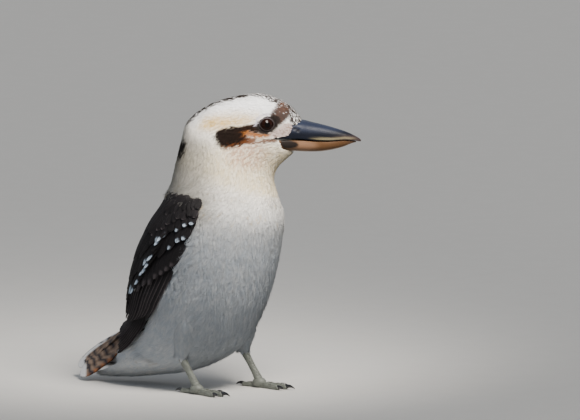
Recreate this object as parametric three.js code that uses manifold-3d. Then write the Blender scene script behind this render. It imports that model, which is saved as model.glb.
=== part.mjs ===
// A laughing kookaburra, life size, standing at rest with its body turned a little to its right and its
// head in profile. Millimetres, +Z up, +X the way the bill points, +Y away from the side that shows most.
// The flesh is one long form between two rails, the line under the body and the line over it, parted by
// thin cuts. Wings, mantle, tail and coverts are overlapping vanes set on that form from its own measures.

import * as THREE from "three";
import { mergeVertices } from "three/addons/utils/BufferGeometryUtils.js";
import Module from "manifold-3d";

const wasm = await Module();
wasm.setup();

// Driving sizes, in millimetres and degrees
const GAP = 0.3; // left between neighbours
const BODY_TURN = 30; // the body faces this far from the bill's direction
const NECK_AXIS = new THREE.Vector2(11, -6); // where the turn takes place
const SIDES = [
  { name: "right", sign: -1 },
  { name: "left", sign: 1 },
];

// Stations along the flesh, from the bill's base to under the tail. Forward is measured from the neck's axis
// and up from the ground: the under and over points of each ring, and its half width. Turn is the share of
// BODY_TURN, skew moves the widest place towards the under side, and box squares the ring's shoulders.
const STATIONS = [
  { at: "bill base", under: [74, 253], over: [80, 284.5], half: 11, turn: 0, skew: 0.1, box: 0.85 },
  { at: "brow", under: [67, 247.2], over: [68, 298.8], half: 16.5, turn: 0, skew: 0.05, box: 0.85 },
  { at: "forecrown", under: [60.5, 241.5], over: [50, 308.5], half: 21.5, turn: 0, skew: 0, box: 0.85 },
  { at: "crown", under: [55.5, 236.5], over: [28, 311.8], half: 25.5, turn: 0, skew: 0, box: 0.85 },
  { at: "hindcrown", under: [52.2, 231], over: [-12, 302.6], half: 29.5, turn: 0, skew: 0, box: 0.88 },
  { at: "occiput", under: [50.6, 225.5], over: [-38.5, 284], half: 33.5, turn: 0, skew: 0, box: 0.92 },
  { at: "nape", under: [50.4, 219.5], over: [-46, 262.5], half: 37.5, turn: 0.04, skew: 0, box: 0.95 },
  { at: "hackle", under: [52.5, 211.5], over: [-51.5, 240], half: 42.5, turn: 0.25, skew: 0, box: 0.95 },
  { at: "neck", under: [56.4, 200.5], over: [-57.5, 214], half: 49, turn: 0.65, skew: -0.05, box: 0.95 },
  { at: "shoulder", under: [63, 182], over: [-60.5, 196], half: 54, turn: 1, skew: -0.08, box: 0.95 },
  { at: "breast", under: [59, 155], over: [-73, 173], half: 57.5, turn: 1, skew: -0.04, box: 0.95 },
  { at: "body", under: [51, 121], over: [-86, 144], half: 58.5, turn: 1, skew: 0, box: 0.95 },
  { at: "belly", under: [38, 86], over: [-95, 114], half: 57, turn: 1, skew: 0.05, box: 0.95 },
  { at: "flank", under: [14, 47], over: [-101, 82], half: 50, turn: 1, skew: 0.08, box: 0.95 },
  { at: "loins", under: [-27, 23], over: [-105, 64], half: 42, turn: 1, skew: 0.05, box: 0.95 },
  { at: "vent", under: [-78, 11.5], over: [-113, 49], half: 29.5, turn: 1, skew: 0, box: 0.95 },
  { at: "crissum", under: [-112, 9.5], over: [-123, 39.5], half: 18, turn: 1, skew: 0, box: 0.95 },
  { at: "end", under: [-127, 16], over: [-130, 30], half: 8, turn: 1, skew: 0, box: 1 },
];
const station = (name) => STATIONS.findIndex((s) => s.at === name);
const AROUND = 26; // corners of a ring
const RINGS = { head: 16, headEnds: 6.5, body: 19 };
const CUTS = { nape: 0.35, neck: 0.55, loins: 0.3 }; // a cut stands this far past the station it is named for

const EYE = {
  forward: 41.6,
  up: 282.6,
  side: 18.7,
  radius: 8.6,
  corners: 13,
  opening: 6.7,
  lid: 1.4,
  lidCorners: 14,
  ahead: 14,
};
const MOUTH = { from: 45, to: 70, up: 265.9, deep: 1.3, high: 0.7 }; // the line of the gape on the face

// Bill rings, forward from the neck's axis, from the base to the tip
const UPPER_BILL = [
  { over: [72, 284], under: [52, 266.3], half: 14.6 },
  { over: [80.5, 284.6], under: [66, 266], half: 14.6 },
  { over: [90, 282.3], under: [80, 265.2], half: 13.4 },
  { over: [101.5, 279.6], under: [95, 263.7], half: 11.4 },
  { over: [113.5, 276.2], under: [110, 263.4], half: 9.2 },
  { over: [125.5, 272.2], under: [124, 264.1], half: 6.7 },
  { over: [134.5, 268], under: [133.8, 263.2], half: 4.2 },
  { over: [139, 265.4], under: [138.6, 262.3], half: 2.3 },
  { over: [141, 263.6], under: [140.8, 262], half: 0.9 },
];
const LOWER_BILL = [
  { over: [54, 266], under: [62, 253], half: 13.4 },
  { over: [66, 265.7], under: [72, 252.4], half: 13.4 },
  { over: [80, 264.9], under: [84, 251.7], half: 12.2 },
  { over: [95, 263.4], under: [97, 251.7], half: 10.3 },
  { over: [110, 263.1], under: [110, 253.4], half: 8.2 },
  { over: [124, 263.8], under: [122, 256.4], half: 5.7 },
  { over: [132.5, 262.8], under: [131, 260], half: 3 },
  { over: [136, 262.2], under: [135.6, 261.2], half: 1 },
];
const BILL_CORNERS = 14;
const NOSTRIL = { forward: 72.5, up: 277.5, side: 11.5, long: 3.4, high: 1, deep: 2.2, slope: -22 };

// Wings, set out by station and by degrees round the body, 0 under and 180 over
const WING_FRONT = [
  [8.3, 100],
  [8.6, 91],
  [9.4, 84.5],
  [10.1, 88],
  [10.9, 92],
  [11.5, 100],
  [12.2, 110],
  [12.7, 118],
];
const WING_BACK = [
  [8.3, 116],
  [8.8, 128],
  [9.6, 138],
  [10.6, 148],
  [11.6, 158],
  [12.6, 168],
  [13.6, 175],
  [15.3, 178],
];
const WING_ARM = {
  from: 8.3,
  to: 12.5,
  steps: 8,
  across: 5,
  sunk: -2,
  edge: 1,
  high: [
    [8.3, 2],
    [8.8, 4.6],
    [9.6, 5.6],
    [10.4, 5.4],
    [11.2, 4.6],
    [12, 3.4],
    [12.5, 1.8],
  ],
};
// Each tier of feathers runs from the wing's front edge to its back edge. Roots and tips are places on the
// body, lift is the height over the body at the root and at the tip, for the first feather and for the last.
// Lap is 1 where each feather lies over the one in front of it, and -1 where it lies under.
const WING_TIERS = [
  {
    feathers: 6,
    root: [[11.4, 108], [11.2, 138]],
    tip: [[15.05, 114], [15.45, 122], [15.3, 133], [14.85, 145], [14.2, 157]],
    width: [10.5, 12],
    lap: 1,
    lift: [[1.3, 1.3], [1.4, 5.6]],
  },
  {
    feathers: 7,
    root: [[10.5, 94], [10.6, 150]],
    tip: [[12.7, 119], [12.95, 132], [13.3, 145], [13.35, 158], [13.1, 170]],
    width: [11.5, 12.5],
    lap: 1,
    lift: [[2.6, 4.5], [3, 8.6]],
  },
  {
    feathers: 6,
    root: [[9.7, 90], [9.9, 143]],
    tip: [[11.1, 99], [11.75, 125], [12.3, 156]],
    width: [16, 16],
    lap: -1,
    lift: [[3.2, 6.5], [3.6, 9.8]],
  },
  {
    feathers: 4,
    root: [[8.95, 93], [9.1, 132]],
    tip: [[10.3, 94], [10.75, 115], [11.25, 145]],
    width: [20, 22],
    lap: -1,
    lift: [[3.2, 8.4], [3.4, 10]],
  },
];
const MANTLE = {
  from: 8.15,
  to: 13,
  steps: 6,
  across: 7,
  apart: 1,
  sunk: -2,
  high: [
    [8.15, 1.5],
    [8.7, 4],
    [10.5, 4.6],
    [12.3, 4],
    [13, 1.5],
  ],
};
// Rows of the mantle: one feather in the middle, which lies highest, and the same number on either side.
const MANTLE_ROWS = [
  { each: 1, apart: 8.5, root: 11, tip: [13.15, 12.95], width: 11, lift: [2.6, 4.2] },
  { each: 2, apart: 10, root: 9.9, tip: [11.8, 11.6], width: 13, lift: [2.8, 5.6] },
  { each: 2, apart: 16.5, root: 8.8, tip: [10.45, 10.2], width: 20, lift: [2.2, 6.4] },
];
const VANE = { thick: 0.7, tipThick: 0.75, camber: 0.2, round: 50, free: 0.5 };
const VARIED = { seed: 41, tip: 0.1, degrees: 0.5, width: 0.05, tail: 0.012 }; // how far feathers differ

// Tail, as a frame that turns from the body's to the one the tip rests in
const TAIL = {
  root: new THREE.Vector3(-64, 44, 87),
  tip: new THREE.Vector3(-144.2, 73.5, 8.4),
  rootSide: new THREE.Vector3(0.48, 0.877, 0.05),
  tipSide: new THREE.Vector3(-0.16, 0.9, 0.4),
  half: [12, 22.5],
  thick: [11, 10.4],
  steps: 8,
  pairs: 6,
  shaft: [[1.5, 3.6], [3, 12.6]], // from the middle to the innermost and the outermost shaft, at root and tip
  width: [19, 19],
  level: 0.82, // a feather lies this far under the one before
  vane: 0.52,
  shorter: 0.09, // the outermost pair's loss of length
  stub: { from: 0.04, to: 0.24, half: 11, steps: 2, corners: 8 },
};
const UNDERTAIL = {
  pad: { from: 14.5, to: 16.5, steps: 4, across: 7, sunk: -1 },
  high: 2.6,
  spread: 62,
  feathers: 5,
  at: 15.9,
  long: [24, 44],
  width: 23,
  thick: 0.9,
};

// Legs: the joint of thigh and shank in the belly's feathers, the ball of the foot, and the toes
const LEGS = {
  right: { hip: [-18, -32, 108], hock: [-35.5, -24, 38.5], ball: [-19, -33, 7.2] },
  left: { hip: [27, 16, 108], hock: [29, 24, 38.8], ball: [46, 14, 7.2] },
};
const THIGH = { round: 19.5, widest: 0.38, bottom: 6.2, steps: 7, corners: 14 };
const SHANK = { top: 4.3, middle: 3.5, bottom: 4.6, scutes: 5, scute: 0.28, corners: 9, flatten: 0.92 };
const BALL = { long: 7.4, wide: 6.6, high: 5.6 };
// Toes in the order of their numbers: 1 points back, 3 and 4 lie side by side
const TOES = [
  { number: 1, aim: 176, long: 17, thick: 2.9, claw: 9.5 },
  { number: 2, aim: 24, long: 20, thick: 2.9, claw: 9 },
  { number: 3, aim: 0, long: 29, thick: 3.2, claw: 11 },
  { number: 4, aim: -17, long: 25, thick: 3, claw: 9 },
];
const FOOT_AIM = { right: -34, left: -28 };
const TOE = { corners: 7, scutes: 3, scute: 0.3, taper: 0.78, gapFromBall: 3.5, flat: 0.45 };
const CLAW = { corners: 6, rings: 6, bend: 62, width: 0.62, raised: 1, blunt: 0.35 };

// Small helpers
const radians = THREE.MathUtils.degToRad;
const mix = THREE.MathUtils.lerp;
const smooth = (x, from, to) => THREE.MathUtils.smoothstep(x, from, to);
const vector = (list) => new THREE.Vector3(...list);

// Numbers from -1 to 1 that come out the same every time.
function seeded(seed) {
  let state = seed;
  return () => {
    state = (state * 16807) % 2147483647;
    return (state / 2147483647) * 2 - 1;
  };
}
const vary = seeded(VARIED.seed);

// The value at a place along a list, on a smooth curve through its members.
function through(list, place) {
  const last = list.length - 1;
  const i = Math.min(Math.max(Math.floor(place), 0), last - 1);
  const u = place - i;
  const p1 = list[i];
  const p2 = list[i + 1];
  const p0 = i > 0 ? list[i - 1] : 2 * p1 - p2;
  const p3 = i + 2 <= last ? list[i + 2] : 2 * p2 - p1;
  const bend = 2 * p0 - 5 * p1 + 4 * p2 - p3;
  return 0.5 * (2 * p1 + (p2 - p0) * u + bend * u * u + (3 * p1 - p0 - 3 * p2 + p3) * u ** 3);
}

// The value of a table of [place, value] rows at a place, in straight stretches.
function along(table, place) {
  for (let i = 1; i < table.length; i++) {
    const [a, va] = table[i - 1];
    const [b, vb] = table[i];
    if (place <= b) return mix(va, vb, Math.max(0, (place - a) / (b - a)));
  }
  return table[table.length - 1][1];
}

// Solids
function solidOf(geometry) {
  const bare = new THREE.BufferGeometry();
  const flat = geometry.index ? geometry.toNonIndexed() : geometry;
  bare.setAttribute("position", flat.getAttribute("position"));
  const merged = mergeVertices(bare, 1e-4);
  const triVerts = new Uint32Array(merged.index.array);
  const vertProperties = merged.attributes.position.array;
  const solid = new wasm.Manifold(new wasm.Mesh({ numProp: 3, vertProperties, triVerts }));
  if (solid.volume() > 0) return solid;
  for (let i = 0; i < triVerts.length; i += 3) {
    [triVerts[i + 1], triVerts[i + 2]] = [triVerts[i + 2], triVerts[i + 1]];
  }
  return new wasm.Manifold(new wasm.Mesh({ numProp: 3, vertProperties, triVerts }));
}

function geometryOf(solid) {
  const mesh = solid.getMesh();
  const places = new Float32Array(mesh.numVert * 3);
  for (let i = 0; i < mesh.numVert; i++) {
    places.set(mesh.vertProperties.subarray(i * mesh.numProp, i * mesh.numProp + 3), i * 3);
  }
  const geometry = new THREE.BufferGeometry();
  geometry.setAttribute("position", new THREE.BufferAttribute(places, 3));
  geometry.setIndex(new THREE.BufferAttribute(mesh.triVerts, 1));
  return geometry;
}

const joined = (solids) => solids.reduce((a, b) => a.add(b));
const cutBy = (solid, tools) => tools.reduce((a, b) => a.subtract(b), solid);
const largest = (solid) => solid.decompose().sort((a, b) => b.volume() - a.volume())[0];

// A closed body through rings of corners, with a flat fan over each end.
function loft(rings) {
  const corners = rings[0].length;
  const places = [];
  const push = (...points) => points.forEach((p) => places.push(p.x, p.y, p.z));
  for (let r = 1; r < rings.length; r++) {
    for (let c = 0; c < corners; c++) {
      const d = (c + 1) % corners;
      push(rings[r - 1][c], rings[r][c], rings[r][d]);
      push(rings[r - 1][c], rings[r][d], rings[r - 1][d]);
    }
  }
  for (const end of [0, rings.length - 1]) {
    const ring = rings[end];
    const middle = centre(ring);
    for (let c = 0; c < corners; c++) {
      const d = (c + 1) % corners;
      if (end === 0) push(middle, ring[c], ring[d]);
      else push(middle, ring[d], ring[c]);
    }
  }
  const geometry = new THREE.BufferGeometry();
  geometry.setAttribute("position", new THREE.BufferAttribute(new Float32Array(places), 3));
  return solidOf(geometry);
}

function centre(points) {
  const sum = new THREE.Vector3();
  points.forEach((p) => sum.add(p));
  return sum.divideScalar(points.length);
}

// Rings pushed outwards by a distance, to cut clearance for a neighbour.
function swollen(rings, by) {
  const middles = rings.map(centre);
  const last = rings.length - 1;
  return rings.map((ring, r) => {
    const towards = r === 0 ? middles[0].clone().sub(middles[1]) : middles[r].clone().sub(middles[r - 1]);
    const push = r === 0 || r === last ? towards.setLength(by) : new THREE.Vector3();
    return ring.map((p) => p.clone().add(p.clone().sub(middles[r]).setLength(by)).add(push));
  });
}

// A thin closed sheet: rows of points on its upper face, each row with a normal and a thickness. Both faces
// are split into triangles alike.
function sheet(rows) {
  const across = rows[0].points.length;
  const top = rows.map((row) => row.points);
  const bottom = rows.map((row) => row.points.map((p) => p.clone().addScaledVector(row.normal, -row.thick)));
  const places = [];
  const push = (...points) => points.forEach((p) => places.push(p.x, p.y, p.z));
  const last = rows.length - 1;
  for (let r = 0; r < last; r++) {
    for (let c = 0; c < across - 1; c++) {
      push(top[r][c], top[r + 1][c], top[r + 1][c + 1]);
      push(top[r][c], top[r + 1][c + 1], top[r][c + 1]);
      push(bottom[r][c], bottom[r + 1][c + 1], bottom[r + 1][c]);
      push(bottom[r][c], bottom[r][c + 1], bottom[r + 1][c + 1]);
    }
    const e = across - 1;
    push(top[r][0], bottom[r + 1][0], top[r + 1][0], top[r][0], bottom[r][0], bottom[r + 1][0]);
    push(top[r][e], top[r + 1][e], bottom[r + 1][e], top[r][e], bottom[r + 1][e], bottom[r][e]);
  }
  for (let c = 0; c < across - 1; c++) {
    push(top[0][c], top[0][c + 1], bottom[0][c + 1], top[0][c], bottom[0][c + 1], bottom[0][c]);
    push(top[last][c], bottom[last][c + 1], top[last][c + 1]);
    push(top[last][c], bottom[last][c], bottom[last][c + 1]);
  }
  const geometry = new THREE.BufferGeometry();
  geometry.setAttribute("position", new THREE.BufferAttribute(new Float32Array(places), 3));
  return solidOf(geometry);
}

// The outline of a feather, as its share of full width along its length: narrow at the root, round at the tip.
const VANE_OUTLINE = [
  [0, 0.5],
  [0.5, 1],
  [0.87, 0.8],
  [1, 0.28],
];

// How far the edges of feathers side by side must tip to lie free of one another on the round of the body.
const lapTilt = (width, apart) =>
  ((VANE.thick + VANE.free + (apart * (width - apart)) / (2 * VANE.round)) * width) / (2 * apart);

// A feather along a path of { place, normal }. Its middle is raised by the camber, and its edges tip by the
// tilt, so that feathers side by side lap over one another without touching.
function vane({ path, width, thick = VANE.thick, camber = VANE.camber, tilt = 0 }) {
  const rows = VANE_OUTLINE.map(([share, wide]) => {
    const here = path(share);
    const ahead = path(Math.min(share + 0.02, 1)).place;
    const behind = path(Math.max(share - 0.02, 0)).place;
    const forward = ahead.clone().sub(behind).normalize();
    const side = forward.clone().cross(here.normal).normalize();
    const out = (width * wide) / 2;
    const edge = (s) =>
      here.place
        .clone()
        .addScaledVector(side, s * out)
        .addScaledVector(here.normal, (s * tilt - camber) * wide);
    const points = [edge(-1), here.place.clone(), edge(1)];
    return { points, normal: here.normal, thick: thick * mix(1, VANE.tipThick, share) };
  });
  return sheet(rows);
}

// Flesh between the rails
const rail = (pick) => (place) => through(STATIONS.map(pick), place);
const UNDER_FORWARD = rail((s) => s.under[0]);
const UNDER_UP = rail((s) => s.under[1]);
const OVER_FORWARD = rail((s) => s.over[0]);
const OVER_UP = rail((s) => s.over[1]);
const HALF = rail((s) => s.half);
const TURN = rail((s) => s.turn);
const SKEW = rail((s) => s.skew);
const BOX = rail((s) => s.box);

// A place given forward from the neck's axis, to the left and up, with the body's turn or a share of it.
function placed(forward, left, up, turn = 1) {
  const a = radians(BODY_TURN * turn);
  return new THREE.Vector3(
    NECK_AXIS.x + forward * Math.cos(a) + left * Math.sin(a),
    NECK_AXIS.y - forward * Math.sin(a) + left * Math.cos(a),
    up,
  );
}

function fleshPoint(at, degrees) {
  const c = Math.cos(radians(degrees));
  const s = Math.sin(radians(degrees));
  const share = (1 - c - SKEW(at) * s * s) / 2;
  const forward = mix(UNDER_FORWARD(at), OVER_FORWARD(at), share);
  const up = mix(UNDER_UP(at), OVER_UP(at), share);
  const left = -HALF(at) * Math.sign(s) * Math.abs(s) ** BOX(at);
  return placed(forward, left, up, TURN(at));
}

// A place over the flesh, with the way out from it. Degrees are negative on the left side.
function overFlesh(at, degrees, lift) {
  const step = 0.05;
  const lengthwise = fleshPoint(at + step, degrees).sub(fleshPoint(at - step, degrees));
  const round = fleshPoint(at, degrees + 1).sub(fleshPoint(at, degrees - 1));
  const normal = round.cross(lengthwise).normalize();
  const middle = fleshPoint(at, 0).add(fleshPoint(at, 180)).multiplyScalar(0.5);
  const place = fleshPoint(at, degrees);
  if (normal.dot(place.clone().sub(middle)) < 0) normal.negate();
  return { place: place.addScaledVector(normal, lift), normal };
}

function fleshRings() {
  const { head: headRings, headEnds, body } = RINGS;
  const last = STATIONS.length - 1;
  const at = (r) => {
    if (r < headRings) return (r / headRings) * headEnds;
    return mix(headEnds, last, (r - headRings) / body);
  };
  return Array.from({ length: headRings + body + 1 }, (_, r) =>
    Array.from({ length: AROUND }, (_, c) => fleshPoint(at(r), (c * 360) / AROUND)),
  );
}

const flesh = loft(fleshRings());
const fleshClear = loft(swollen(fleshRings(), GAP * 1.15));

// The plane of the ring at a station, facing back along the body, as a normal and an offset.
function ringPlane(at) {
  const under = fleshPoint(at, 0);
  const over = fleshPoint(at, 180);
  const side = fleshPoint(at, 90);
  const normal = over.clone().sub(under).cross(side.clone().sub(under)).normalize();
  const next = fleshPoint(at + 0.4, 180);
  if (normal.dot(next.sub(over)) < 0) normal.negate();
  return { normal, offset: normal.dot(under) };
}

function splitAt(solid, at) {
  const { normal, offset } = ringPlane(at);
  const list = normal.toArray();
  const behind = solid.splitByPlane(list, offset + GAP / 2)[0];
  const ahead = solid.splitByPlane(list, offset - GAP / 2)[1];
  return [largest(ahead), largest(behind)];
}

// Head
function eyeFrame(side) {
  const centreOfEye = placed(EYE.forward, side.sign * EYE.side, EYE.up, 0);
  const a = radians(EYE.ahead);
  const axis = new THREE.Vector3(Math.sin(a), side.sign * Math.cos(a), 0.05).normalize();
  return { centreOfEye, axis };
}

function ball(radius, place) {
  const geometry = new THREE.SphereGeometry(radius, EYE.corners, Math.round(EYE.corners * 0.6));
  geometry.translate(place.x, place.y, place.z);
  return solidOf(geometry);
}

function eyelids(side) {
  const { centreOfEye, axis } = eyeFrame(side);
  const geometry = new THREE.TorusGeometry(EYE.opening + EYE.lid * 0.45, EYE.lid, 6, EYE.lidCorners);
  const out = Math.sqrt(EYE.radius ** 2 - EYE.opening ** 2);
  geometry.applyQuaternion(new THREE.Quaternion().setFromUnitVectors(new THREE.Vector3(0, 0, 1), axis));
  const seat = centreOfEye.clone().addScaledVector(axis, out);
  geometry.translate(seat.x, seat.y, seat.z);
  return solidOf(geometry);
}

// The line of the gape, a shallow groove that follows the face back from the bill.
function gape(side) {
  const steps = 5;
  const rings = Array.from({ length: steps + 1 }, (_, i) => {
    const forward = mix(MOUTH.from, MOUTH.to, i / steps);
    const surface = faceSide(forward, MOUTH.up);
    const sag = Math.sin((Math.PI * i) / steps) * 0.6;
    const deep = MOUTH.deep * smooth(i, 0, 2) + 0.15;
    const corner = (left, up) => placed(forward, side.sign * left, MOUTH.up - sag + up, 0);
    const half = MOUTH.high / 2;
    return [
      corner(surface - deep, -half * 0.4),
      corner(surface + 2, -half),
      corner(surface + 2, half),
      corner(surface - deep, half * 0.4),
    ];
  });
  return loft(rings);
}

// How far the side of the head lies from its middle at a forward place and a height.
function faceSide(forward, up) {
  let best = { miss: Infinity, side: 0 };
  for (let at = 0; at <= 6; at += 0.1) {
    for (let degrees = 20; degrees <= 160; degrees += 4) {
      const p = fleshPoint(at, degrees);
      const miss = Math.hypot(p.x - NECK_AXIS.x - forward, p.z - up);
      if (miss < best.miss) best = { miss, side: NECK_AXIS.y - p.y };
    }
  }
  return best.side;
}

// Bill
function upperRing({ over, under, half }) {
  return Array.from({ length: BILL_CORNERS }, (_, c) => {
    const a = (c / BILL_CORNERS) * Math.PI * 2;
    const rise = Math.cos(a); // 1 at the ridge
    const share = rise > 0 ? 0.06 + 0.94 * rise ** 1.15 : 0.06 * (1 + rise);
    const left = half * Math.sign(Math.sin(a)) * Math.abs(Math.sin(a)) ** 0.8;
    return placed(mix(under[0], over[0], share), left, mix(under[1], over[1], share), 0);
  });
}

function lowerRing({ over, under, half }) {
  return Array.from({ length: BILL_CORNERS }, (_, c) => {
    const a = (c / BILL_CORNERS) * Math.PI * 2;
    const fall = Math.cos(a); // 1 at the keel
    const share = fall > 0 ? 0.08 + 0.92 * fall ** 0.8 : 0.08 * (1 + fall);
    const left = half * Math.sign(Math.sin(a)) * Math.abs(Math.sin(a)) ** 0.75;
    return placed(mix(over[0], under[0], share), left, mix(over[1], under[1], share), 0);
  });
}

function nostril(side) {
  const geometry = new THREE.SphereGeometry(1, 10, 6);
  geometry.scale(NOSTRIL.long, NOSTRIL.deep, NOSTRIL.high);
  geometry.rotateY(radians(-NOSTRIL.slope));
  const seat = placed(NOSTRIL.forward, side.sign * NOSTRIL.side, NOSTRIL.up, 0);
  geometry.translate(seat.x, seat.y, seat.z);
  return solidOf(geometry);
}

const upperRings = UPPER_BILL.map(upperRing);
const lowerRings = LOWER_BILL.map(lowerRing);
const upperBill = cutBy(loft(upperRings), SIDES.map(nostril));
const lowerBill = cutBy(loft(lowerRings), [loft(swollen(upperRings, GAP))]);

// A pad on the body between two lines of degrees, with a rounded or a flat back of a given height.
function pad({ from, to, steps, across, sunk }, range, high) {
  const rings = Array.from({ length: steps + 1 }, (_, i) => {
    const at = mix(from, to, i / steps);
    const [first, last] = range(at);
    const outer = [];
    const inner = [];
    for (let c = 0; c < across; c++) {
      const v = c / (across - 1);
      const degrees = mix(first, last, v);
      outer.push(overFlesh(at, degrees, high(at, v)).place);
      inner.push(overFlesh(at, degrees, sunk).place);
    }
    return [...outer, ...inner.reverse()];
  });
  return loft(rings);
}

function wingArm(side) {
  const range = (at) => [-side.sign * along(WING_FRONT, at), -side.sign * along(WING_BACK, at)];
  const bulge = (v) => Math.sin(Math.PI * 0.7 * v) ** 0.6;
  return pad(WING_ARM, range, (at, v) => mix(WING_ARM.edge, along(WING_ARM.high, at), bulge(v)));
}

// The feathers of one tier. Spread gives the place of a share of the way along a list of places.
function tier({ feathers, root, tip, width, lap, lift }, side) {
  const spread = (places, share) => {
    const last = places.length - 1;
    return [through(places.map((p) => p[0]), share * last), through(places.map((p) => p[1]), share * last)];
  };
  const specs = Array.from({ length: feathers }, (_, i) => {
    const share = i / (feathers - 1);
    const [rootAt, rootDegrees] = spread(root, share);
    const [tipAt, tipDegrees] = spread(tip, share);
    const [rootLift, tipLift] = spread(lift, share);
    const endAt = tipAt + VARIED.tip * vary();
    const endDegrees = tipDegrees + VARIED.degrees * vary();
    const path = (s) => {
      const degrees = mix(rootDegrees, endDegrees, s ** 1.1);
      return overFlesh(mix(rootAt, endAt, s), -side.sign * degrees, mix(rootLift, tipLift, s ** 0.8));
    };
    return { path, width: mix(width[0], width[1], share) * (1 + VARIED.width * vary()) };
  });
  const middles = specs.map((spec) => spec.path(0.7).place);
  return specs.map((spec, i) => {
    const beside = middles.filter((_, k) => Math.abs(k - i) === 1);
    const apart = Math.min(...beside.map((m) => m.distanceTo(middles[i])));
    return vane({ ...spec, tilt: side.sign * lap * lapTilt(spec.width, apart) });
  });
}

function wing(side) {
  return joined([wingArm(side), ...WING_TIERS.flatMap((t) => tier(t, side))]);
}

// The mantle lies between the wings' back edges.
const mantleRange = (apart) => (at) => {
  const half = 180 - along(WING_BACK, Math.max(at, WING_ARM.from)) - apart;
  return [180 - half, 180 + half];
};

function mantle() {
  const rows = MANTLE_ROWS.flatMap(({ each, apart, root, tip, width, lift }) =>
    Array.from({ length: 2 * each + 1 }, (_, i) => {
      const place = i - each;
      const end = mix(tip[0], tip[1], Math.abs(place) / each) + VARIED.tip * vary();
      const raised = place === 0 ? VANE.thick + GAP : 0;
      const path = (s) => {
        const rise = mix(lift[0], lift[1], s ** 0.8) + raised * s;
        return overFlesh(mix(root, end, s), 180 + place * apart, rise);
      };
      const tilt = Math.sign(place) * lapTilt(width, radians(apart) * VANE.round);
      return vane({ path, width: width * (1 + VARIED.width * vary()), tilt });
    }),
  );
  return joined([pad(MANTLE, mantleRange(MANTLE.apart), (at) => along(MANTLE.high, at)), ...rows]);
}

// All the room over the mantle's part of the back, which the wings keep out of, or fill on either side.
function overMantle(apart) {
  const room = { from: 7.9, to: 13.1, steps: 13, across: 9, sunk: -4 };
  return pad(room, mantleRange(apart), () => 16);
}

// Tail
function tailFrame(share) {
  const lengthwise = TAIL.tip.clone().sub(TAIL.root);
  const back = lengthwise.clone().normalize();
  const sideways = TAIL.rootSide.clone().lerp(TAIL.tipSide, smooth(share, 0.1, 0.9));
  sideways.addScaledVector(back, -sideways.dot(back)).normalize();
  const normal = back.clone().cross(sideways).normalize();
  if (normal.z < 0) normal.negate();
  return { middle: TAIL.root.clone().addScaledVector(lengthwise, share), sideways, normal };
}

// The room the whole tail takes up, grown by a distance.
function tailRoom(grow) {
  const rings = Array.from({ length: TAIL.steps + 1 }, (_, i) => {
    const share = i / TAIL.steps;
    const { middle, sideways, normal } = tailFrame(share);
    const half = mix(TAIL.half[0], TAIL.half[1], smooth(share, 0, 0.6)) + grow;
    const low = -mix(TAIL.thick[0], TAIL.thick[1], share) - grow;
    const corners = [
      [-1, low],
      [-0.4, low],
      [0.4, low],
      [1, low],
      [1, low * 0.35],
      [0.55, grow],
      [0, grow],
      [-0.55, grow],
      [-1, low * 0.35],
    ];
    return corners.map(([out, up]) =>
      middle
        .clone()
        .addScaledVector(sideways, out * half)
        .addScaledVector(normal, up),
    );
  });
  return loft(rings);
}

function tailVane(side, pair) {
  const outward = pair / (TAIL.pairs - 1);
  const long = 1 - TAIL.shorter * outward ** 2 - VARIED.tail * (1 + vary());
  const [inner, outer] = TAIL.shaft;
  const off = (s) => mix(mix(inner[0], inner[1], s), mix(outer[0], outer[1], s), outward);
  const drop = 0.3 + (2 * pair + (side.sign > 0 ? 0 : 1)) * TAIL.level;
  const path = (s) => {
    const { middle, sideways, normal } = tailFrame(s * long);
    const place = middle.addScaledVector(sideways, side.sign * off(s)).addScaledVector(normal, -drop);
    return { place, normal };
  };
  return vane({ path, width: mix(TAIL.width[0], TAIL.width[1], outward), thick: TAIL.vane, camber: 0.15 });
}

// The flesh that the tail's feathers are rooted in.
function tailStub() {
  const { from, to, half, steps, corners } = TAIL.stub;
  const rings = Array.from({ length: steps + 1 }, (_, i) => {
    const share = i / steps;
    const { middle, sideways, normal } = tailFrame(mix(from, to, share));
    const shrink = Math.sqrt(1 - 0.92 * share ** 2);
    const high = TAIL.thick[0] / 2;
    return Array.from({ length: corners }, (_, c) => {
      const a = (c / corners) * Math.PI * 2;
      return middle
        .clone()
        .addScaledVector(sideways, half * shrink * Math.cos(a))
        .addScaledVector(normal, high * (0.96 * shrink * Math.sin(a) - 1));
    });
  });
  return loft(rings);
}

function tail() {
  const pairs = Array.from({ length: TAIL.pairs }, (_, pair) => SIDES.map((side) => tailVane(side, pair)));
  return joined([tailStub(), ...pairs.flat()]);
}

// Coverts under the tail, a pad on the body and a fan of feathers
function undertail() {
  const { pad: base, high, spread, feathers, at, long, width, thick } = UNDERTAIL;
  const backward = TAIL.tip.clone().sub(TAIL.root).setZ(0).normalize();
  const fan = Array.from({ length: feathers }, (_, i) => {
    const v = (i / (feathers - 1)) * 2 - 1;
    const { place, normal } = overFlesh(at - 0.3 * v * v, v * spread, high * 0.55);
    const reach = mix(long[1], long[0], Math.abs(v)) * (1 + VARIED.width * vary());
    const layer = (i % 2) * (thick + GAP);
    const path = (s) => {
      const rise = 6 * s * s * (1 - v * v) + layer * s;
      const reached = place.clone().addScaledVector(backward, s * reach);
      return { place: reached.setZ(reached.z + rise), normal };
    };
    return vane({ path, width, thick, camber: 0.6 });
  });
  const range = () => [-spread - 4, spread + 4];
  return joined([pad(base, range, (where, v) => 0.4 + high * Math.sin(Math.PI * v) ** 0.5), ...fan]);
}

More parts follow.
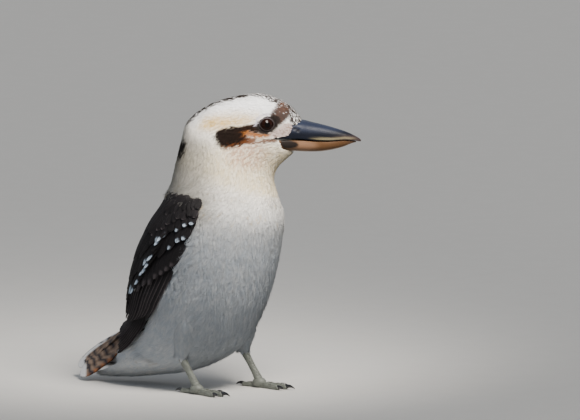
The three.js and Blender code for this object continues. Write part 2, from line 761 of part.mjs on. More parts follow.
// Legs
function tube(from, to, radiusAt, steps, corners, flatten = 1) {
  const forward = to.clone().sub(from).normalize();
  const side = new THREE.Vector3(0, 0, 1).cross(forward).normalize();
  const up = forward.clone().cross(side);
  return Array.from({ length: steps + 1 }, (_, i) => {
    const share = i / steps;
    const middle = from.clone().lerp(to, share);
    const radius = radiusAt(share);
    return Array.from({ length: corners }, (_, c) => {
      const a = (c / corners) * Math.PI * 2;
      return middle
        .clone()
        .addScaledVector(side, radius * Math.cos(a))
        .addScaledVector(up, radius * flatten * Math.sin(a));
    });
  });
}

// A radius that steps like overlapping scutes.
const scuted = (radius, count, scute) => (share) => radius(share) + scute * (1 - ((share * count) % 1));

function thighRings(leg) {
  const { round, widest, bottom, steps, corners } = THIGH;
  const radius = (share) => {
    if (share < widest) return round * Math.sqrt(1 - 0.93 * (1 - share / widest) ** 2);
    return mix(bottom, round, Math.cos(((share - widest) / (1 - widest)) * (Math.PI / 2)) ** 1.2);
  };
  return tube(vector(leg.hip), vector(leg.hock).add(new THREE.Vector3(0, 0, 1)), radius, steps, corners);
}

function shankRings(leg) {
  const hock = vector(leg.hock);
  const radius = (share) =>
    mix(mix(SHANK.top, SHANK.middle, smooth(share, 0, 0.5)), SHANK.bottom, smooth(share, 0.6, 1));
  const stepped = scuted(radius, SHANK.scutes, SHANK.scute);
  return tube(hock, vector(leg.ball), stepped, SHANK.scutes * 2, SHANK.corners, SHANK.flatten);
}

function footBall(leg, aim, grow) {
  const geometry = new THREE.SphereGeometry(1, 10, 7);
  geometry.scale(BALL.long + grow, BALL.wide + grow, BALL.high + grow);
  geometry.rotateZ(radians(aim));
  geometry.translate(leg.ball[0], leg.ball[1], BALL.high - TOE.flat);
  return solidOf(geometry);
}

function toeFrame(leg, footAim, toe) {
  const aim = radians(footAim + toe.aim);
  const forward = new THREE.Vector3(Math.cos(aim), Math.sin(aim), 0);
  const start = new THREE.Vector3(leg.ball[0], leg.ball[1], 0).addScaledVector(forward, TOE.gapFromBall);
  return { forward, start };
}

function toeRings(leg, footAim, toe) {
  const { forward, start } = toeFrame(leg, footAim, toe);
  const steps = TOE.scutes * 2;
  const side = new THREE.Vector3(0, 0, 1).cross(forward);
  const radius = scuted((share) => toe.thick * mix(1, TOE.taper, share), TOE.scutes, TOE.scute);
  return Array.from({ length: steps + 1 }, (_, i) => {
    const share = i / steps;
    const r = radius(Math.min(share, 0.999));
    const arch = Math.sin(Math.PI * share) * 0.8 * smooth(toe.long, 18, 30);
    const middle = start.clone().addScaledVector(forward, share * toe.long).setZ(r - TOE.flat + arch);
    return Array.from({ length: TOE.corners }, (_, c) => {
      const a = ((c + 0.5) / TOE.corners) * Math.PI * 2;
      const sink = Math.sin(a) < 0 ? arch : 0; // the pads stay on the ground under the arch
      return middle
        .clone()
        .addScaledVector(side, r * Math.cos(a))
        .add(new THREE.Vector3(0, 0, r * Math.sin(a) - sink));
    });
  });
}

function clawRings(leg, footAim, toe) {
  const { forward, start } = toeFrame(leg, footAim, toe);
  const base = toe.thick * TOE.taper * 0.86;
  const side = new THREE.Vector3(0, 0, 1).cross(forward);
  const arc = toe.claw / radians(CLAW.bend); // radius of the claw's curve
  const high = toe.thick * TOE.taper - TOE.flat + CLAW.raised;
  const foot = start.clone().addScaledVector(forward, toe.long + GAP).setZ(high);
  return Array.from({ length: CLAW.rings }, (_, i) => {
    const share = i / (CLAW.rings - 1);
    const turn = radians(CLAW.bend * share - CLAW.bend * 0.34);
    const begin = radians(-CLAW.bend * 0.34);
    const ahead = arc * (Math.sin(turn) - Math.sin(begin));
    const drop = arc * (Math.cos(begin) - Math.cos(turn));
    const middle = foot.clone().addScaledVector(forward, ahead).add(new THREE.Vector3(0, 0, -drop));
    const across = i === 0 ? 0 : turn;
    const outward = new THREE.Vector3(0, 0, Math.cos(across)).addScaledVector(forward, Math.sin(across));
    const r = base * (1 - share) ** 0.8 + CLAW.blunt;
    return Array.from({ length: CLAW.corners }, (_, c) => {
      const a = (c / CLAW.corners) * Math.PI * 2;
      return middle
        .clone()
        .addScaledVector(side, r * CLAW.width * Math.cos(a))
        .addScaledVector(outward, r * Math.sin(a));
    });
  });
}

// Everything under the ground plane is cut away, which leaves small flats at one level.
const BELOW = solidOf(new THREE.BoxGeometry(600, 600, 60).translate(0, 0, -30));
const above = (solid) => largest(solid.subtract(BELOW));

// Colours and finishes by sub-part
const FINISH = {
  white: { color: 0xe8e2d6, roughness: 0.9 },
  dark: { color: 0x1f1a18, roughness: 0.75 },
  tail: { color: 0x8a5a38, roughness: 0.75 },
  bill: { color: 0x23252c, roughness: 0.35 },
  horn: { color: 0xc9a88c, roughness: 0.4 },
  eye: { color: 0x2a1610, roughness: 0.08 },
  leg: { color: 0x9a9a7c, roughness: 0.7 },
  claw: { color: 0x14151a, roughness: 0.35 },
};
const materials = Object.fromEntries(
  Object.entries(FINISH).map(([name, finish]) => [name, new THREE.MeshStandardMaterial({ name, ...finish })]),
);

const bird = new THREE.Group();
bird.name = "laughing_kookaburra";

function add(name, solid, material) {
  const mesh = new THREE.Mesh(geometryOf(largest(solid)), materials[material]);
  mesh.name = name;
  bird.add(mesh);
}

// Flesh, cut round the bill and the eyes
const [headWhole, belowHead] = splitAt(flesh, station("nape") + CUTS.nape);
const [neck, belowNeck] = splitAt(belowHead, station("neck") + CUTS.neck);
const [torso, rump] = splitAt(belowNeck, station("loins") + CUTS.loins);
const head = cutBy(joined([headWhole, ...SIDES.map(eyelids)]), [
  loft(swollen(upperRings, GAP)),
  loft(swollen(lowerRings, GAP)),
  ...SIDES.map((side) => ball(EYE.radius + GAP, eyeFrame(side).centreOfEye)),
  ...SIDES.map(gape),
]);
add("head", head, "white");
add("neck", neck, "white");
add("torso", torso, "white");
add("rump", rump, "white");
add("bill_upper", upperBill, "bill");
add("bill_lower", lowerBill, "horn");
SIDES.forEach((side) => add(`eye_${side.name}`, ball(EYE.radius, eyeFrame(side).centreOfEye), "eye"));

// Feathers
const tailClear = tailRoom(GAP);
const median = new THREE.Vector3(Math.sin(radians(BODY_TURN)), Math.cos(radians(BODY_TURN)), 0);
const medianAt = median.x * NECK_AXIS.x + median.y * NECK_AXIS.y;
const mantleRoom = overMantle(0);
SIDES.forEach((side) => {
  const clear = cutBy(wing(side), [fleshClear, tailClear, mantleRoom]);
  const outward = median.clone().multiplyScalar(side.sign);
  const half = clear.splitByPlane(outward.toArray(), side.sign * medianAt + GAP / 2)[0];
  add(`wing_${side.name}`, half, "dark");
});
add("mantle", cutBy(mantle().intersect(overMantle(MANTLE.apart)), [fleshClear, tailClear]), "dark");
add("tail", above(cutBy(tail(), [fleshClear])), "tail");
add("undertail_coverts", above(cutBy(undertail(), [fleshClear, tailClear])), "white");

// Legs and feet
SIDES.forEach(({ name }) => {
  const leg = LEGS[name];
  const aim = FOOT_AIM[name];
  const thigh = thighRings(leg);
  add(`thigh_${name}`, cutBy(loft(thigh), [fleshClear]), "white");
  const shank = joined([loft(shankRings(leg)), footBall(leg, aim, 0)]);
  add(`shank_${name}`, above(cutBy(shank, [fleshClear, loft(swollen(thigh, GAP))])), "leg");
  const shankClear = joined([loft(swollen(shankRings(leg), GAP)), footBall(leg, aim, GAP)]);
  const cleared = [shankClear];
  TOES.forEach((toe) => {
    const rings = toeRings(leg, aim, toe);
    add(`toe_${toe.number}_${name}`, above(cutBy(loft(rings), cleared)), "leg");
    cleared.push(loft(swollen(rings, GAP)));
  });
  TOES.forEach((toe) => {
    add(`claw_${toe.number}_${name}`, above(cutBy(loft(clawRings(leg, aim, toe)), cleared)), "claw");
  });
});

// The origin goes to the ground under the middle of the whole.
const bounds = new THREE.Box3().setFromObject(bird);
const middle = bounds.getCenter(new THREE.Vector3());
bird.children.forEach((mesh) => mesh.geometry.translate(-middle.x, -middle.y, -bounds.min.z));

export default bird;
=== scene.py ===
# %% [markdown]
# # A laughing kookaburra
# A life-size bird at rest, its body turned a little away and its head in profile. The solid model from the
# first step gives the shape and the sizes. Here that shape gets a skin, a coat of separate feathers, wings and
# a tail of vanes, wet eyes, a horn bill and scaled legs. Everything is made from numbers, so each cell can be
# changed and run again.

# %% Set up
import math

import bpy
import numpy as np
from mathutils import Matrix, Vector
from mathutils.kdtree import KDTree


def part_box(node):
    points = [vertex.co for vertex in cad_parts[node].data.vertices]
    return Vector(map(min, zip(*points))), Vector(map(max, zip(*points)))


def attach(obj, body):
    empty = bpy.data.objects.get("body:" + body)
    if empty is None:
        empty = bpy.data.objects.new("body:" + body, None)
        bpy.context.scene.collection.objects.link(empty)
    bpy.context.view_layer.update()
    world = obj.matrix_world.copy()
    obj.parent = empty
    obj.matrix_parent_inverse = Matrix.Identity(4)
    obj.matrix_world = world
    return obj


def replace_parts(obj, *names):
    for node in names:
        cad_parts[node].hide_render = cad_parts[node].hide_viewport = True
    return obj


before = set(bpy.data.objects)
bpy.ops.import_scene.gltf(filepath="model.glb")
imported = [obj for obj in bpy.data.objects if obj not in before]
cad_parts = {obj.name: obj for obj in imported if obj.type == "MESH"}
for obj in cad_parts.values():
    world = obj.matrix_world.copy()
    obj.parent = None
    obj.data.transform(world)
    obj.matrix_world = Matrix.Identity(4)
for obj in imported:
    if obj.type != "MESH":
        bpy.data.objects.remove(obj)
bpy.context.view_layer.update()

# %% [markdown]
# The body is one long form between two lines, one under it and one over it. Each station gives a point of
# both lines, the half width there, the share of the body's turn, and two numbers for the roundness. A smooth
# curve through the stations gives any place in between. Working from the same numbers as the solid model
# keeps the coat close to it.

# %% The form of the body
BODY_TURN = 30.0
NECK_AXIS = (11.0, -6.0)
# under forward, under up, over forward, over up, half width, turn, skew, box
STATIONS = np.array([
    [74, 253, 80, 284.5, 11, 0, 0.1, 0.85],
    [67, 247.2, 68, 298.8, 16.5, 0, 0.05, 0.85],
    [60.5, 241.5, 50, 308.5, 21.5, 0, 0, 0.85],
    [55.5, 236.5, 28, 311.8, 25.5, 0, 0, 0.85],
    [52.2, 231, -12, 302.6, 29.5, 0, 0, 0.88],
    [50.6, 225.5, -38.5, 284, 33.5, 0, 0, 0.92],
    [50.4, 219.5, -46, 262.5, 37.5, 0.04, 0, 0.95],
    [52.5, 211.5, -51.5, 240, 42.5, 0.25, 0, 0.95],
    [56.4, 200.5, -57.5, 214, 49, 0.65, -0.05, 0.95],
    [63, 182, -60.5, 196, 54, 1, -0.08, 0.95],
    [59, 155, -73, 173, 57.5, 1, -0.04, 0.95],
    [51, 121, -86, 144, 58.5, 1, 0, 0.95],
    [38, 86, -95, 114, 57, 1, 0.05, 0.95],
    [14, 47, -101, 82, 50, 1, 0.08, 0.95],
    [-27, 23, -105, 64, 42, 1, 0.05, 0.95],
    [-78, 11.5, -113, 49, 29.5, 1, 0, 0.95],
    [-112, 9.5, -123, 39.5, 18, 1, 0, 0.95],
    [-127, 16, -130, 30, 8, 1, 0, 1],
])
LAST = len(STATIONS) - 1.0
SHORTEST_STATION = 4.0


def unit(v):
    return v / np.maximum(np.linalg.norm(v, axis=-1, keepdims=True), 1e-9)


def mix(a, b, share):
    return a + (b - a) * share


def ease(x, start, end):
    u = np.clip((np.asarray(x, float) - start) / (end - start), 0, 1)
    return u * u * (3 - 2 * u)


def through(values, place):
    """The value at a place along a list, on a smooth curve through its members."""
    v = np.asarray(values, float)
    v = np.concatenate([[2 * v[0] - v[1]], v, [2 * v[-1] - v[-2]]])
    place = np.asarray(place, float)
    i = np.clip(np.floor(place).astype(int), 0, len(v) - 4)
    u = place - i
    if v.ndim > 1:
        u = u[..., None]
    p0, p1, p2, p3 = v[i], v[i + 1], v[i + 2], v[i + 3]
    bend = 2 * p0 - 5 * p1 + 4 * p2 - p3
    return 0.5 * (2 * p1 + (p2 - p0) * u + bend * u * u + (3 * p1 - p0 - 3 * p2 + p3) * u**3)


def along(table, place):
    """The value of a table of (place, value) rows at a place."""
    t = np.asarray(table, float)
    return np.interp(place, t[:, 0], t[:, 1])


def placed(forward, left, up, turn=1.0):
    a = np.radians(BODY_TURN * np.asarray(turn, float))
    x = NECK_AXIS[0] + forward * np.cos(a) + left * np.sin(a)
    y = NECK_AXIS[1] - forward * np.sin(a) + left * np.cos(a)
    return np.stack(np.broadcast_arrays(x, y, up), -1)


def flesh_point(at, degrees):
    at, degrees = np.broadcast_arrays(np.asarray(at, float), np.asarray(degrees, float))
    r = through(STATIONS, at)
    c, s = np.cos(np.radians(degrees)), np.sin(np.radians(degrees))
    share = (1 - c - r[..., 6] * s * s) / 2
    left = -r[..., 4] * np.sign(s) * np.abs(s) ** r[..., 7]
    return placed(mix(r[..., 0], r[..., 2], share), left, mix(r[..., 1], r[..., 3], share), r[..., 5])


def flesh_normal(at, degrees):
    at, degrees = np.broadcast_arrays(np.asarray(at, float), np.asarray(degrees, float))
    lengthwise = flesh_point(at + 0.05, degrees) - flesh_point(at - 0.05, degrees)
    round_ = flesh_point(at, degrees + 1) - flesh_point(at, degrees - 1)
    n = unit(np.cross(round_, lengthwise))
    middle = (flesh_point(at, 0 * degrees) + flesh_point(at, 180 + 0 * degrees)) / 2
    out = np.sum(n * (flesh_point(at, degrees) - middle), -1, keepdims=True)
    return np.where(out < 0, -n, n)


def over_flesh(at, degrees, lift=0.0):
    n = flesh_normal(at, degrees)
    return flesh_point(at, degrees) + n * np.asarray(lift, float)[..., None], n


def stations_over(at, degrees, length):
    """How many stations a length in millimetres takes up at a place on the body."""
    step = np.linalg.norm(flesh_point(at + 0.1, degrees) - flesh_point(at, degrees), axis=-1) * 10
    return length / np.maximum(step, SHORTEST_STATION)


def golden(count):
    """Numbers from 0 to 1 that fill the range evenly however many there are."""
    return (np.arange(count) * 0.6180339887498949) % 1


EYE_BEFORE_SHIFT = np.array([52.6, -24.7, 282.6])
low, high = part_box("eye_right")
SHIFT = np.array((low + high) / 2) * 1000 - EYE_BEFORE_SHIFT
print("shift of the solid model, mm:", SHIFT.round(2))

# %% [markdown]
# Every shape becomes a mesh in the same way: points and faces in, an object out, with its colour stored on
# the points and its maps on the corners. The colours live on the mesh because the marks of a bird belong to
# single feathers, and a texture laid over the whole body couldn't follow them.

# %% Mesh helpers
MATERIALS = {}


def metres(points):
    return (np.asarray(points, float) + SHIFT) * 0.001


def add_object(name, data):
    made = bpy.data.objects.new(name, data)
    bpy.context.scene.collection.objects.link(made)
    return made


def worked_out(holder):
    """The points and faces of an object after its modifiers. The object itself goes."""
    mesh = bpy.data.meshes.new_from_object(holder.evaluated_get(bpy.context.evaluated_depsgraph_get()))
    bpy.data.objects.remove(holder)
    co = np.empty(len(mesh.vertices) * 3)
    mesh.vertices.foreach_get("co", co)
    return co.reshape(-1, 3) * 1000 - SHIFT, [list(p.vertices) for p in mesh.polygons]


def make_piece(name, points, faces, material, slot, colours=None, maps=None, normals=None):
    mesh = bpy.data.meshes.new(name)
    mesh.from_pydata(metres(points).tolist(), [], faces)
    corner = np.empty(len(mesh.loops), np.int32)
    mesh.loops.foreach_get("vertex_index", corner)
    if colours is not None:
        c = np.ones((len(points), 4), np.float32)
        c[:, :3] = np.clip(colours, 0, 1)
        layer = mesh.color_attributes.new("Coat", "FLOAT_COLOR", "POINT")
        layer.data.foreach_set("color", c.ravel())
    for map_name, uv in (maps or {}).items():
        layer = mesh.uv_layers.new(name=map_name)
        layer.data.foreach_set("uv", np.asarray(uv, np.float32)[corner].ravel())
    mesh.polygons.foreach_set("use_smooth", np.ones(len(mesh.polygons), bool))
    mesh.update()
    if normals is not None:
        mesh.normals_split_custom_set_from_vertices(normals.tolist())
    piece = add_object(name, mesh)
    mesh.materials.append(MATERIALS[material])
    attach(piece, "root")
    return piece


def ring_faces(rings, corners, closed_ends=True, first=0):
    """Faces of a tube of rings, each with the same number of corners, and of its two ends."""
    r, c = np.meshgrid(np.arange(rings - 1), np.arange(corners), indexing="ij")
    d = (c + 1) % corners
    near, far = r * corners, (r + 1) * corners
    quads = np.stack([near + c, near + d, far + d, far + c], -1)
    faces = (quads.reshape(-1, 4) + first).tolist()
    if closed_ends:
        faces.append([first + i for i in range(corners)][::-1])
        faces.append([first + (rings - 1) * corners + i for i in range(corners)])
    return faces


def turned_out(points, faces):
    """The faces, turned over if they look inwards."""
    p = np.asarray(points, float)
    corners = ((p[f[0]], p[f[i]], p[f[i + 1]]) for f in faces for i in range(1, len(f) - 1))
    volume = sum(np.dot(a, np.cross(b, c)) for a, b, c in corners)
    return faces if volume > 0 else [f[::-1] for f in faces]

# %% [markdown]
# Feathers, horn, skin and eye each get a material made of nodes. What several of them need, such as the fine
# combed lines of a feather's barbs, is a node group made once and used again.

# %% Node helpers
def fill(tree, n, inputs):
    """Sets a node's inputs: another node's socket is linked, anything else is its value."""
    for key, value in inputs.items():
        if isinstance(value, bpy.types.NodeSocket):
            tree.links.new(value, n.inputs[key])
        else:
            n.inputs[key].default_value = value
    return n


def node(tree, kind, inputs=None, **settings):
    n = tree.nodes.new(kind)
    for key, value in settings.items():
        setattr(n, key, value)
    return fill(tree, n, inputs or {})


def sums(tree, kind, a, b=0.0, c=0.0):
    return node(tree, "ShaderNodeMath", dict(enumerate((a, b, c))), operation=kind).outputs[0]


def weighed(tree, a, share, b):
    """The first value times its share, plus the second times the rest."""
    return sums(tree, "ADD", sums(tree, "MULTIPLY", a, share), sums(tree, "MULTIPLY", b, 1 - share))


def group(name, inputs, outputs):
    """A node group with float inputs, each with its usual value, and float outputs."""
    tree = bpy.data.node_groups.new(name, "ShaderNodeTree")
    for socket, value in inputs.items():
        made = tree.interface.new_socket(socket, in_out="INPUT", socket_type="NodeSocketFloat")
        made.default_value = value
    for socket in outputs:
        tree.interface.new_socket(socket, in_out="OUTPUT", socket_type="NodeSocketFloat")
    return tree, tree.nodes.new("NodeGroupInput"), tree.nodes.new("NodeGroupOutput")


def barbs_group():
    """Slanting lines on either side of a feather's shaft, as a height and as a light and dark mask."""
    tree, given, result = group("Feather barbs", {"Lines": 30.0, "Slant": 1.2}, ("Height", "Mask"))
    uv = node(tree, "ShaderNodeUVMap", uv_map="Vane")
    parts = node(tree, "ShaderNodeSeparateXYZ", {0: uv.outputs[0]})
    across = sums(tree, "ABSOLUTE", sums(tree, "SUBTRACT", parts.outputs[0], 0.5))
    slanted = sums(tree, "MULTIPLY_ADD", across, given.outputs["Slant"], parts.outputs[1])
    place = node(tree, "ShaderNodeTexCoord").outputs["Object"]
    wander = node(tree, "ShaderNodeTexNoise", {"Vector": place, "Scale": 420.0, "Detail": 2.0}).outputs["Fac"]
    bent = sums(tree, "MULTIPLY_ADD", wander, 0.05, slanted)
    turns = sums(tree, "MULTIPLY", bent, given.outputs["Lines"])
    wave = sums(tree, "SINE", sums(tree, "MULTIPLY", turns, 6.2832))
    height = sums(tree, "MULTIPLY_ADD", wave, 0.5, 0.5)
    mask = sums(tree, "MULTIPLY_ADD", height, 0.35, sums(tree, "MULTIPLY", wander, 0.65))
    fill(tree, result, {"Height": height, "Mask": mask})
    return tree


def mottle_group():
    """Soft patches and fine grain, both from 0 to 1, read from the place on the object."""
    tree, given, result = group("Mottle", {"Patches": 60.0, "Grain": 900.0}, ("Patches", "Grain"))
    place = node(tree, "ShaderNodeTexCoord").outputs["Object"]
    for socket, detail in (("Patches", 4.0), ("Grain", 3.0)):
        inputs = {"Vector": place, "Scale": given.outputs[socket], "Detail": detail}
        fill(tree, result, {socket: node(tree, "ShaderNodeTexNoise", inputs).outputs["Fac"]})
    return tree


BARBS, MOTTLE = barbs_group(), mottle_group()


def new_material(name):
    material = bpy.data.materials.new(name)
    material.use_nodes = True
    MATERIALS[name] = material
    tree = material.node_tree
    return tree, next(n for n in tree.nodes if n.type == "BSDF_PRINCIPLED")


def dress(tree, shader, contrast, mask, uneven, rough, height, strength, depth, settings):
    """The piece's own colour made lighter and darker by a mask, a roughness between two ends, and bumps."""
    own = node(tree, "ShaderNodeAttribute", attribute_name="Coat").outputs["Color"]
    value = node(tree, "ShaderNodeMapRange", {"Value": mask, "To Min": 1 - contrast, "To Max": 1 + contrast})
    colour = node(tree, "ShaderNodeHueSaturation", {"Color": own, "Value": value.outputs[0]})
    roughness = node(tree, "ShaderNodeMapRange", {"Value": uneven, "To Min": rough[0], "To Max": rough[1]})
    bump = node(tree, "ShaderNodeBump", {"Height": height, "Strength": strength, "Distance": depth})
    made = {"Base Color": colour, "Roughness": roughness, "Normal": bump}
    fill(tree, shader, {key: n.outputs[0] for key, n in made.items()} | settings)


def feather_material(name, lines, slant, rough, sheen, contrast, depth, specular):
    tree, shader = new_material(name)
    barbs = node(tree, "ShaderNodeGroup", {"Lines": lines, "Slant": slant}, node_tree=BARBS).outputs
    mottle = node(tree, "ShaderNodeGroup", {"Patches": 90.0, "Grain": 1600.0}, node_tree=MOTTLE).outputs
    settings = {"Sheen Weight": sheen, "Sheen Roughness": 0.5, "Specular IOR Level": specular}
    ends = rough - 0.08, rough + 0.08
    mask = weighed(tree, barbs["Mask"], 0.7, mottle["Grain"])
    dress(tree, shader, contrast, mask, mottle["Patches"], ends, barbs["Height"], 0.5, depth, settings)


def plain_material(name, rough, coat, patches, grain, contrast, depth, specular=0.5, ior=1.5):
    tree, shader = new_material(name)
    mottle = node(tree, "ShaderNodeGroup", {"Patches": patches, "Grain": grain}, node_tree=MOTTLE).outputs
    settings = {"Coat Weight": coat, "Coat Roughness": 0.08, "IOR": ior, "Specular IOR Level": specular}
    ends = rough * 0.75, rough * 1.25
    mask = weighed(tree, mottle["Patches"], 0.6, mottle["Grain"])
    height = weighed(tree, mottle["Patches"], 0.7, mottle["Grain"])
    dress(tree, shader, contrast, mask, mottle["Grain"], ends, height, 0.6, depth, settings)


# name, lines, slant, rough, sheen, contrast, depth, specular
feather_material("Soft plumage", 7.0, 1.0, 0.82, 0.02, 0.12, 0.00012, 0.07)
feather_material("Wing plumage", 34.0, 0.9, 0.62, 0.0, 0.3, 0.00015, 0.16)
feather_material("Tail plumage", 60.0, 0.5, 0.68, 0.0, 0.2, 0.00015, 0.2)
# name, rough, coat, patches, grain, contrast, depth, specular
plain_material("Skin under the coat", 0.85, 0.0, 120.0, 1400.0, 0.2, 0.0006, 0.2)
plain_material("Dark horn", 0.28, 0.0, 60.0, 900.0, 0.35, 0.0003, 0.06)
plain_material("Pale horn", 0.36, 0.0, 70.0, 1100.0, 0.22, 0.0003, 0.12)
plain_material("Eye", 0.05, 0.0, 300.0, 2600.0, 0.35, 0.00001, 0.5, 1.24)
plain_material("Lid", 0.6, 0.0, 500.0, 2600.0, 0.35, 0.0003, 0.1)
plain_material("Scaled leg", 0.55, 0.05, 260.0, 1900.0, 0.35, 0.0004)
plain_material("Claw", 0.22, 0.5, 200.0, 1500.0, 0.4, 0.0001)
print("materials:", list(MATERIALS))

# %% [markdown]
# On the real bird a contour feather is a stiff shaft with barbs combed out to both sides, soft and loose near
# the root and closed to a smooth vane near the tip. A lens-shaped sliver with a few pointed barbs at its tip
# shows the same thing with some fifty faces. All feathers of a batch are worked out together as arrays, which
# is far quicker than one after the other.

# %% The feather builder
OUTLINE_BODY = ((0, 0.5), (0.25, 0.92), (0.5, 1), (0.75, 0.5), (1, 0.2))
SOFT_BARBS = 8
# the side of a feather's patch on the unwrapped skin
PATCH = 0.003


def lines_on_body(at, degrees, length, lifts, rows, swerve=0.0):
    """Centre lines along the coat from each root, with the way out from the body."""
    s = np.linspace(0, 1, rows) if np.ndim(rows) == 0 else rows
    ats = at[:, None] + s * stations_over(at, degrees, length)[:, None]
    around = degrees[:, None] + s**1.3 * np.broadcast_to(swerve, at.shape)[:, None]
    return over_flesh(ats, around, lifts(s, ats, around))


def soft_half(length, slim, rows, draw):
    """Half widths along soft feathers whose width is the share slim of their length."""
    outline = np.interp(np.linspace(0, 1, rows), *zip(*OUTLINE_BODY))
    return (length * slim * draw.uniform(0.85, 1.15, len(length)) / 2)[:, None] * outline


def feather_mesh(lines, normals, half, columns, thick, camber, tilt=0.0, arch=None, along_s=None):
    """Closed feathers round their centre lines: points, each point's place on its feather, and three ways."""
    n, rows, _ = lines.shape
    forward = unit(np.gradient(lines, axis=1))
    side = unit(np.cross(forward, normals))
    up = unit(np.cross(side, forward))
    t = np.asarray(columns, float)
    k = len(t)
    half = np.broadcast_to(half, (n, rows))[..., None]
    thick = np.broadcast_to(thick, (n, rows))[..., None]
    tilt = np.broadcast_to(np.asarray(tilt, float), (n,))[:, None, None]
    left_right = half * t
    height = -camber * half * t**2 + tilt * t * (half / np.maximum(half.max(1, keepdims=True), 1e-6))
    if arch is not None:
        height = height + arch * (1 - np.abs(t)) ** 6
    top = lines[:, :, None] + side[:, :, None] * left_right[..., None] + up[:, :, None] * height[..., None]
    below = top[:, :, 1:-1] - up[:, :, None] * (thick * np.sqrt(1 - t[1:-1] ** 2) + 0.02)[..., None]
    ring = np.concatenate([top, below[:, :, ::-1]], 2)
    around = np.concatenate([t, t[1:-1][::-1]])
    s = np.linspace(0, 1, rows) if along_s is None else along_s
    where = np.stack(np.broadcast_arrays(s[None, :, None], around[None, None, :]), -1)
    return ring, np.broadcast_to(where, (n, rows, len(around), 2)), side, up, forward


def feather_faces(n, rows, corners):
    starts = (np.arange(n) * rows * corners)[:, None]
    quads = (np.array(ring_faces(rows, corners, False)) + starts[:, None]).reshape(-1, 4).tolist()
    first = np.arange(corners)
    ends = (starts + first[::-1]).tolist() + (starts + (rows - 1) * corners + first).tolist()
    return quads + ends


def strands(lines, side, up, half, count, random, loose=0.06):
    """Fine pointed strands that make up a feather's outer half, each a closed four-faced sliver."""
    n, rows, _ = lines.shape
    t = np.linspace(-0.95, 0.95, count)[None] + random.uniform(-0.12, 0.12, (n, count))
    start = 0.34 + 0.3 * random.random((n, count)) - 0.12 * np.abs(t)
    place = start * (rows - 1)
    i = np.clip(place.astype(int), 0, rows - 2)
    u = (place - i)[..., None]
    pick = np.arange(n)[:, None]
    sd, nm = side[pick, i], up[pick, i]
    wide = half.max(1)[:, None]
    long = np.linalg.norm(lines[:, -1] - lines[:, 0], axis=-1)[:, None]
    base = mix(lines[pick, i], lines[pick, i + 1], u) + sd * (t * wide * 0.8)[..., None]
    reach = random.uniform(0.74, 1.08, (n, count)) - 0.2 * t**2
    end = lines[:, None, 0] + (lines[:, None, -1] - lines[:, None, 0]) * reach[..., None]
    sag = lines[:, None, rows // 2] - (lines[:, None, 0] + lines[:, None, -1]) / 2
    end = end + sag * (4 * reach * (1 - reach))[..., None] * (reach < 1)[..., None]
    end = end + side[:, -1][:, None] * ((t * 0.9 + random.normal(0, 0.18, (n, count))) * wide)[..., None]
    end = end + up[:, -1][:, None] * (random.normal(0.3, 1.0, (n, count)) * loose * long)[..., None]
    w = (wide * 2.4 / count * random.uniform(0.7, 1.2, (n, count)))[..., None]
    rise = nm * w * 0.25
    corners = np.stack([base - sd * w / 2 + rise, base + sd * w / 2 + rise, base - nm * w * 0.35, end], 2)
    shares = np.stack([start, start, start, reach], -1)
    across = np.stack([t - 0.2, t + 0.2, t, t], -1)
    return corners, np.stack([shares, across], -1)


BARB_FACES = np.array([[0, 1, 3], [1, 0, 2], [3, 1, 2], [0, 3, 2]])


def soft_normals(normals, side, forward, where, barb, own):
    """Normals that follow the body more than the single feather, which is what makes a coat look silky."""
    s, t = where[..., :1], where[..., 1:]
    lean = side[:, :, None] * t * 0.8 + forward[:, :, None] * (s - 0.5) * 0.5
    ring = unit(normals[:, :, None] + own * lean)
    fan = np.linspace(-0.7, 0.7, barb.shape[1])[:, None, None]
    last = normals[:, -2][:, None, None] + own * side[:, -2][:, None, None] * fan
    barbs = unit(np.broadcast_to(last, barb.shape))
    return np.concatenate([ring.reshape(-1, 3), barbs.reshape(-1, 3)])


def plumes(lines, normals, half, thick, count, random, loose=0.06, own=0.3):
    """A batch of soft feathers: a short closed body for the root half, and strands for the rest."""
    ring, where, side, up, forward = feather_mesh(lines, normals, half, (-1, 0, 1), thick, 0.2)
    barb, barb_where = strands(lines, side, up, half, count, random, loose)
    facing = soft_normals(normals[:, :-1], side[:, :-1], forward[:, :-1], where[:, :-1], barb, own)
    return ring[:, :-1], where[:, :-1], barb, barb_where, facing


def bake_place(at, degrees):
    """A root's place on the unwrapped skin, along the body and round it, both from 0 to 1."""
    return np.stack([0.02 + 0.96 * np.clip(at / LAST, 0, 1), 0.02 + 0.96 * ((degrees + 180) % 360) / 360], -1)


def coat_piece(name, material, slot, ring, where, roots, colour, barbs=None, facing=None):
    """One object of a batch of feathers: their rings, their barbs, colours and the two maps."""
    n, rows, corners, _ = ring.shape
    faces = feather_faces(n, rows, corners)
    parts = [(ring, where, colour, rows * corners)]
    if barbs is not None:
        count = barbs[0].shape[1]
        first = n * rows * corners + (np.arange(n * count) * 4)[:, None, None]
        faces += (BARB_FACES[None] + first).reshape(-1, 3).tolist()
        parts.append((*barbs, count * 4))
    points, place, colours = (
        np.concatenate([part[i].reshape(-1, size) for part in parts]) for i, size in enumerate((3, 2, 3))
    )
    owner = np.concatenate([np.repeat(np.arange(n), part[3]) for part in parts])
    vane = np.stack([place[:, 1] * 0.5 + 0.5, place[:, 0]], -1)
    bake = roots[owner] + PATCH * (np.clip(np.stack([place[:, 0], vane[:, 0]], -1), 0, 1) - 0.5)
    maps = {"Vane": vane, "OFBake": bake}
    return make_piece(name, points, faces, material, slot, colours, maps, facing)


def soft_piece(name, feathers, roots, tint):
    """One object of soft feathers. Tint gives the colours at points, and the roots are a little darker, partly
    for the grey down at a real feather's base and partly as painted shade where the feathers lap.
    """
    ring, where, barb, barb_where, facing = feathers
    colour = tint(ring) * mix(0.9, 1.0, where[..., :1])
    barbs = barb, barb_where, tint(barb)
    return coat_piece(name, "Soft plumage", "white_plumage", ring, where, roots, colour, barbs, facing)


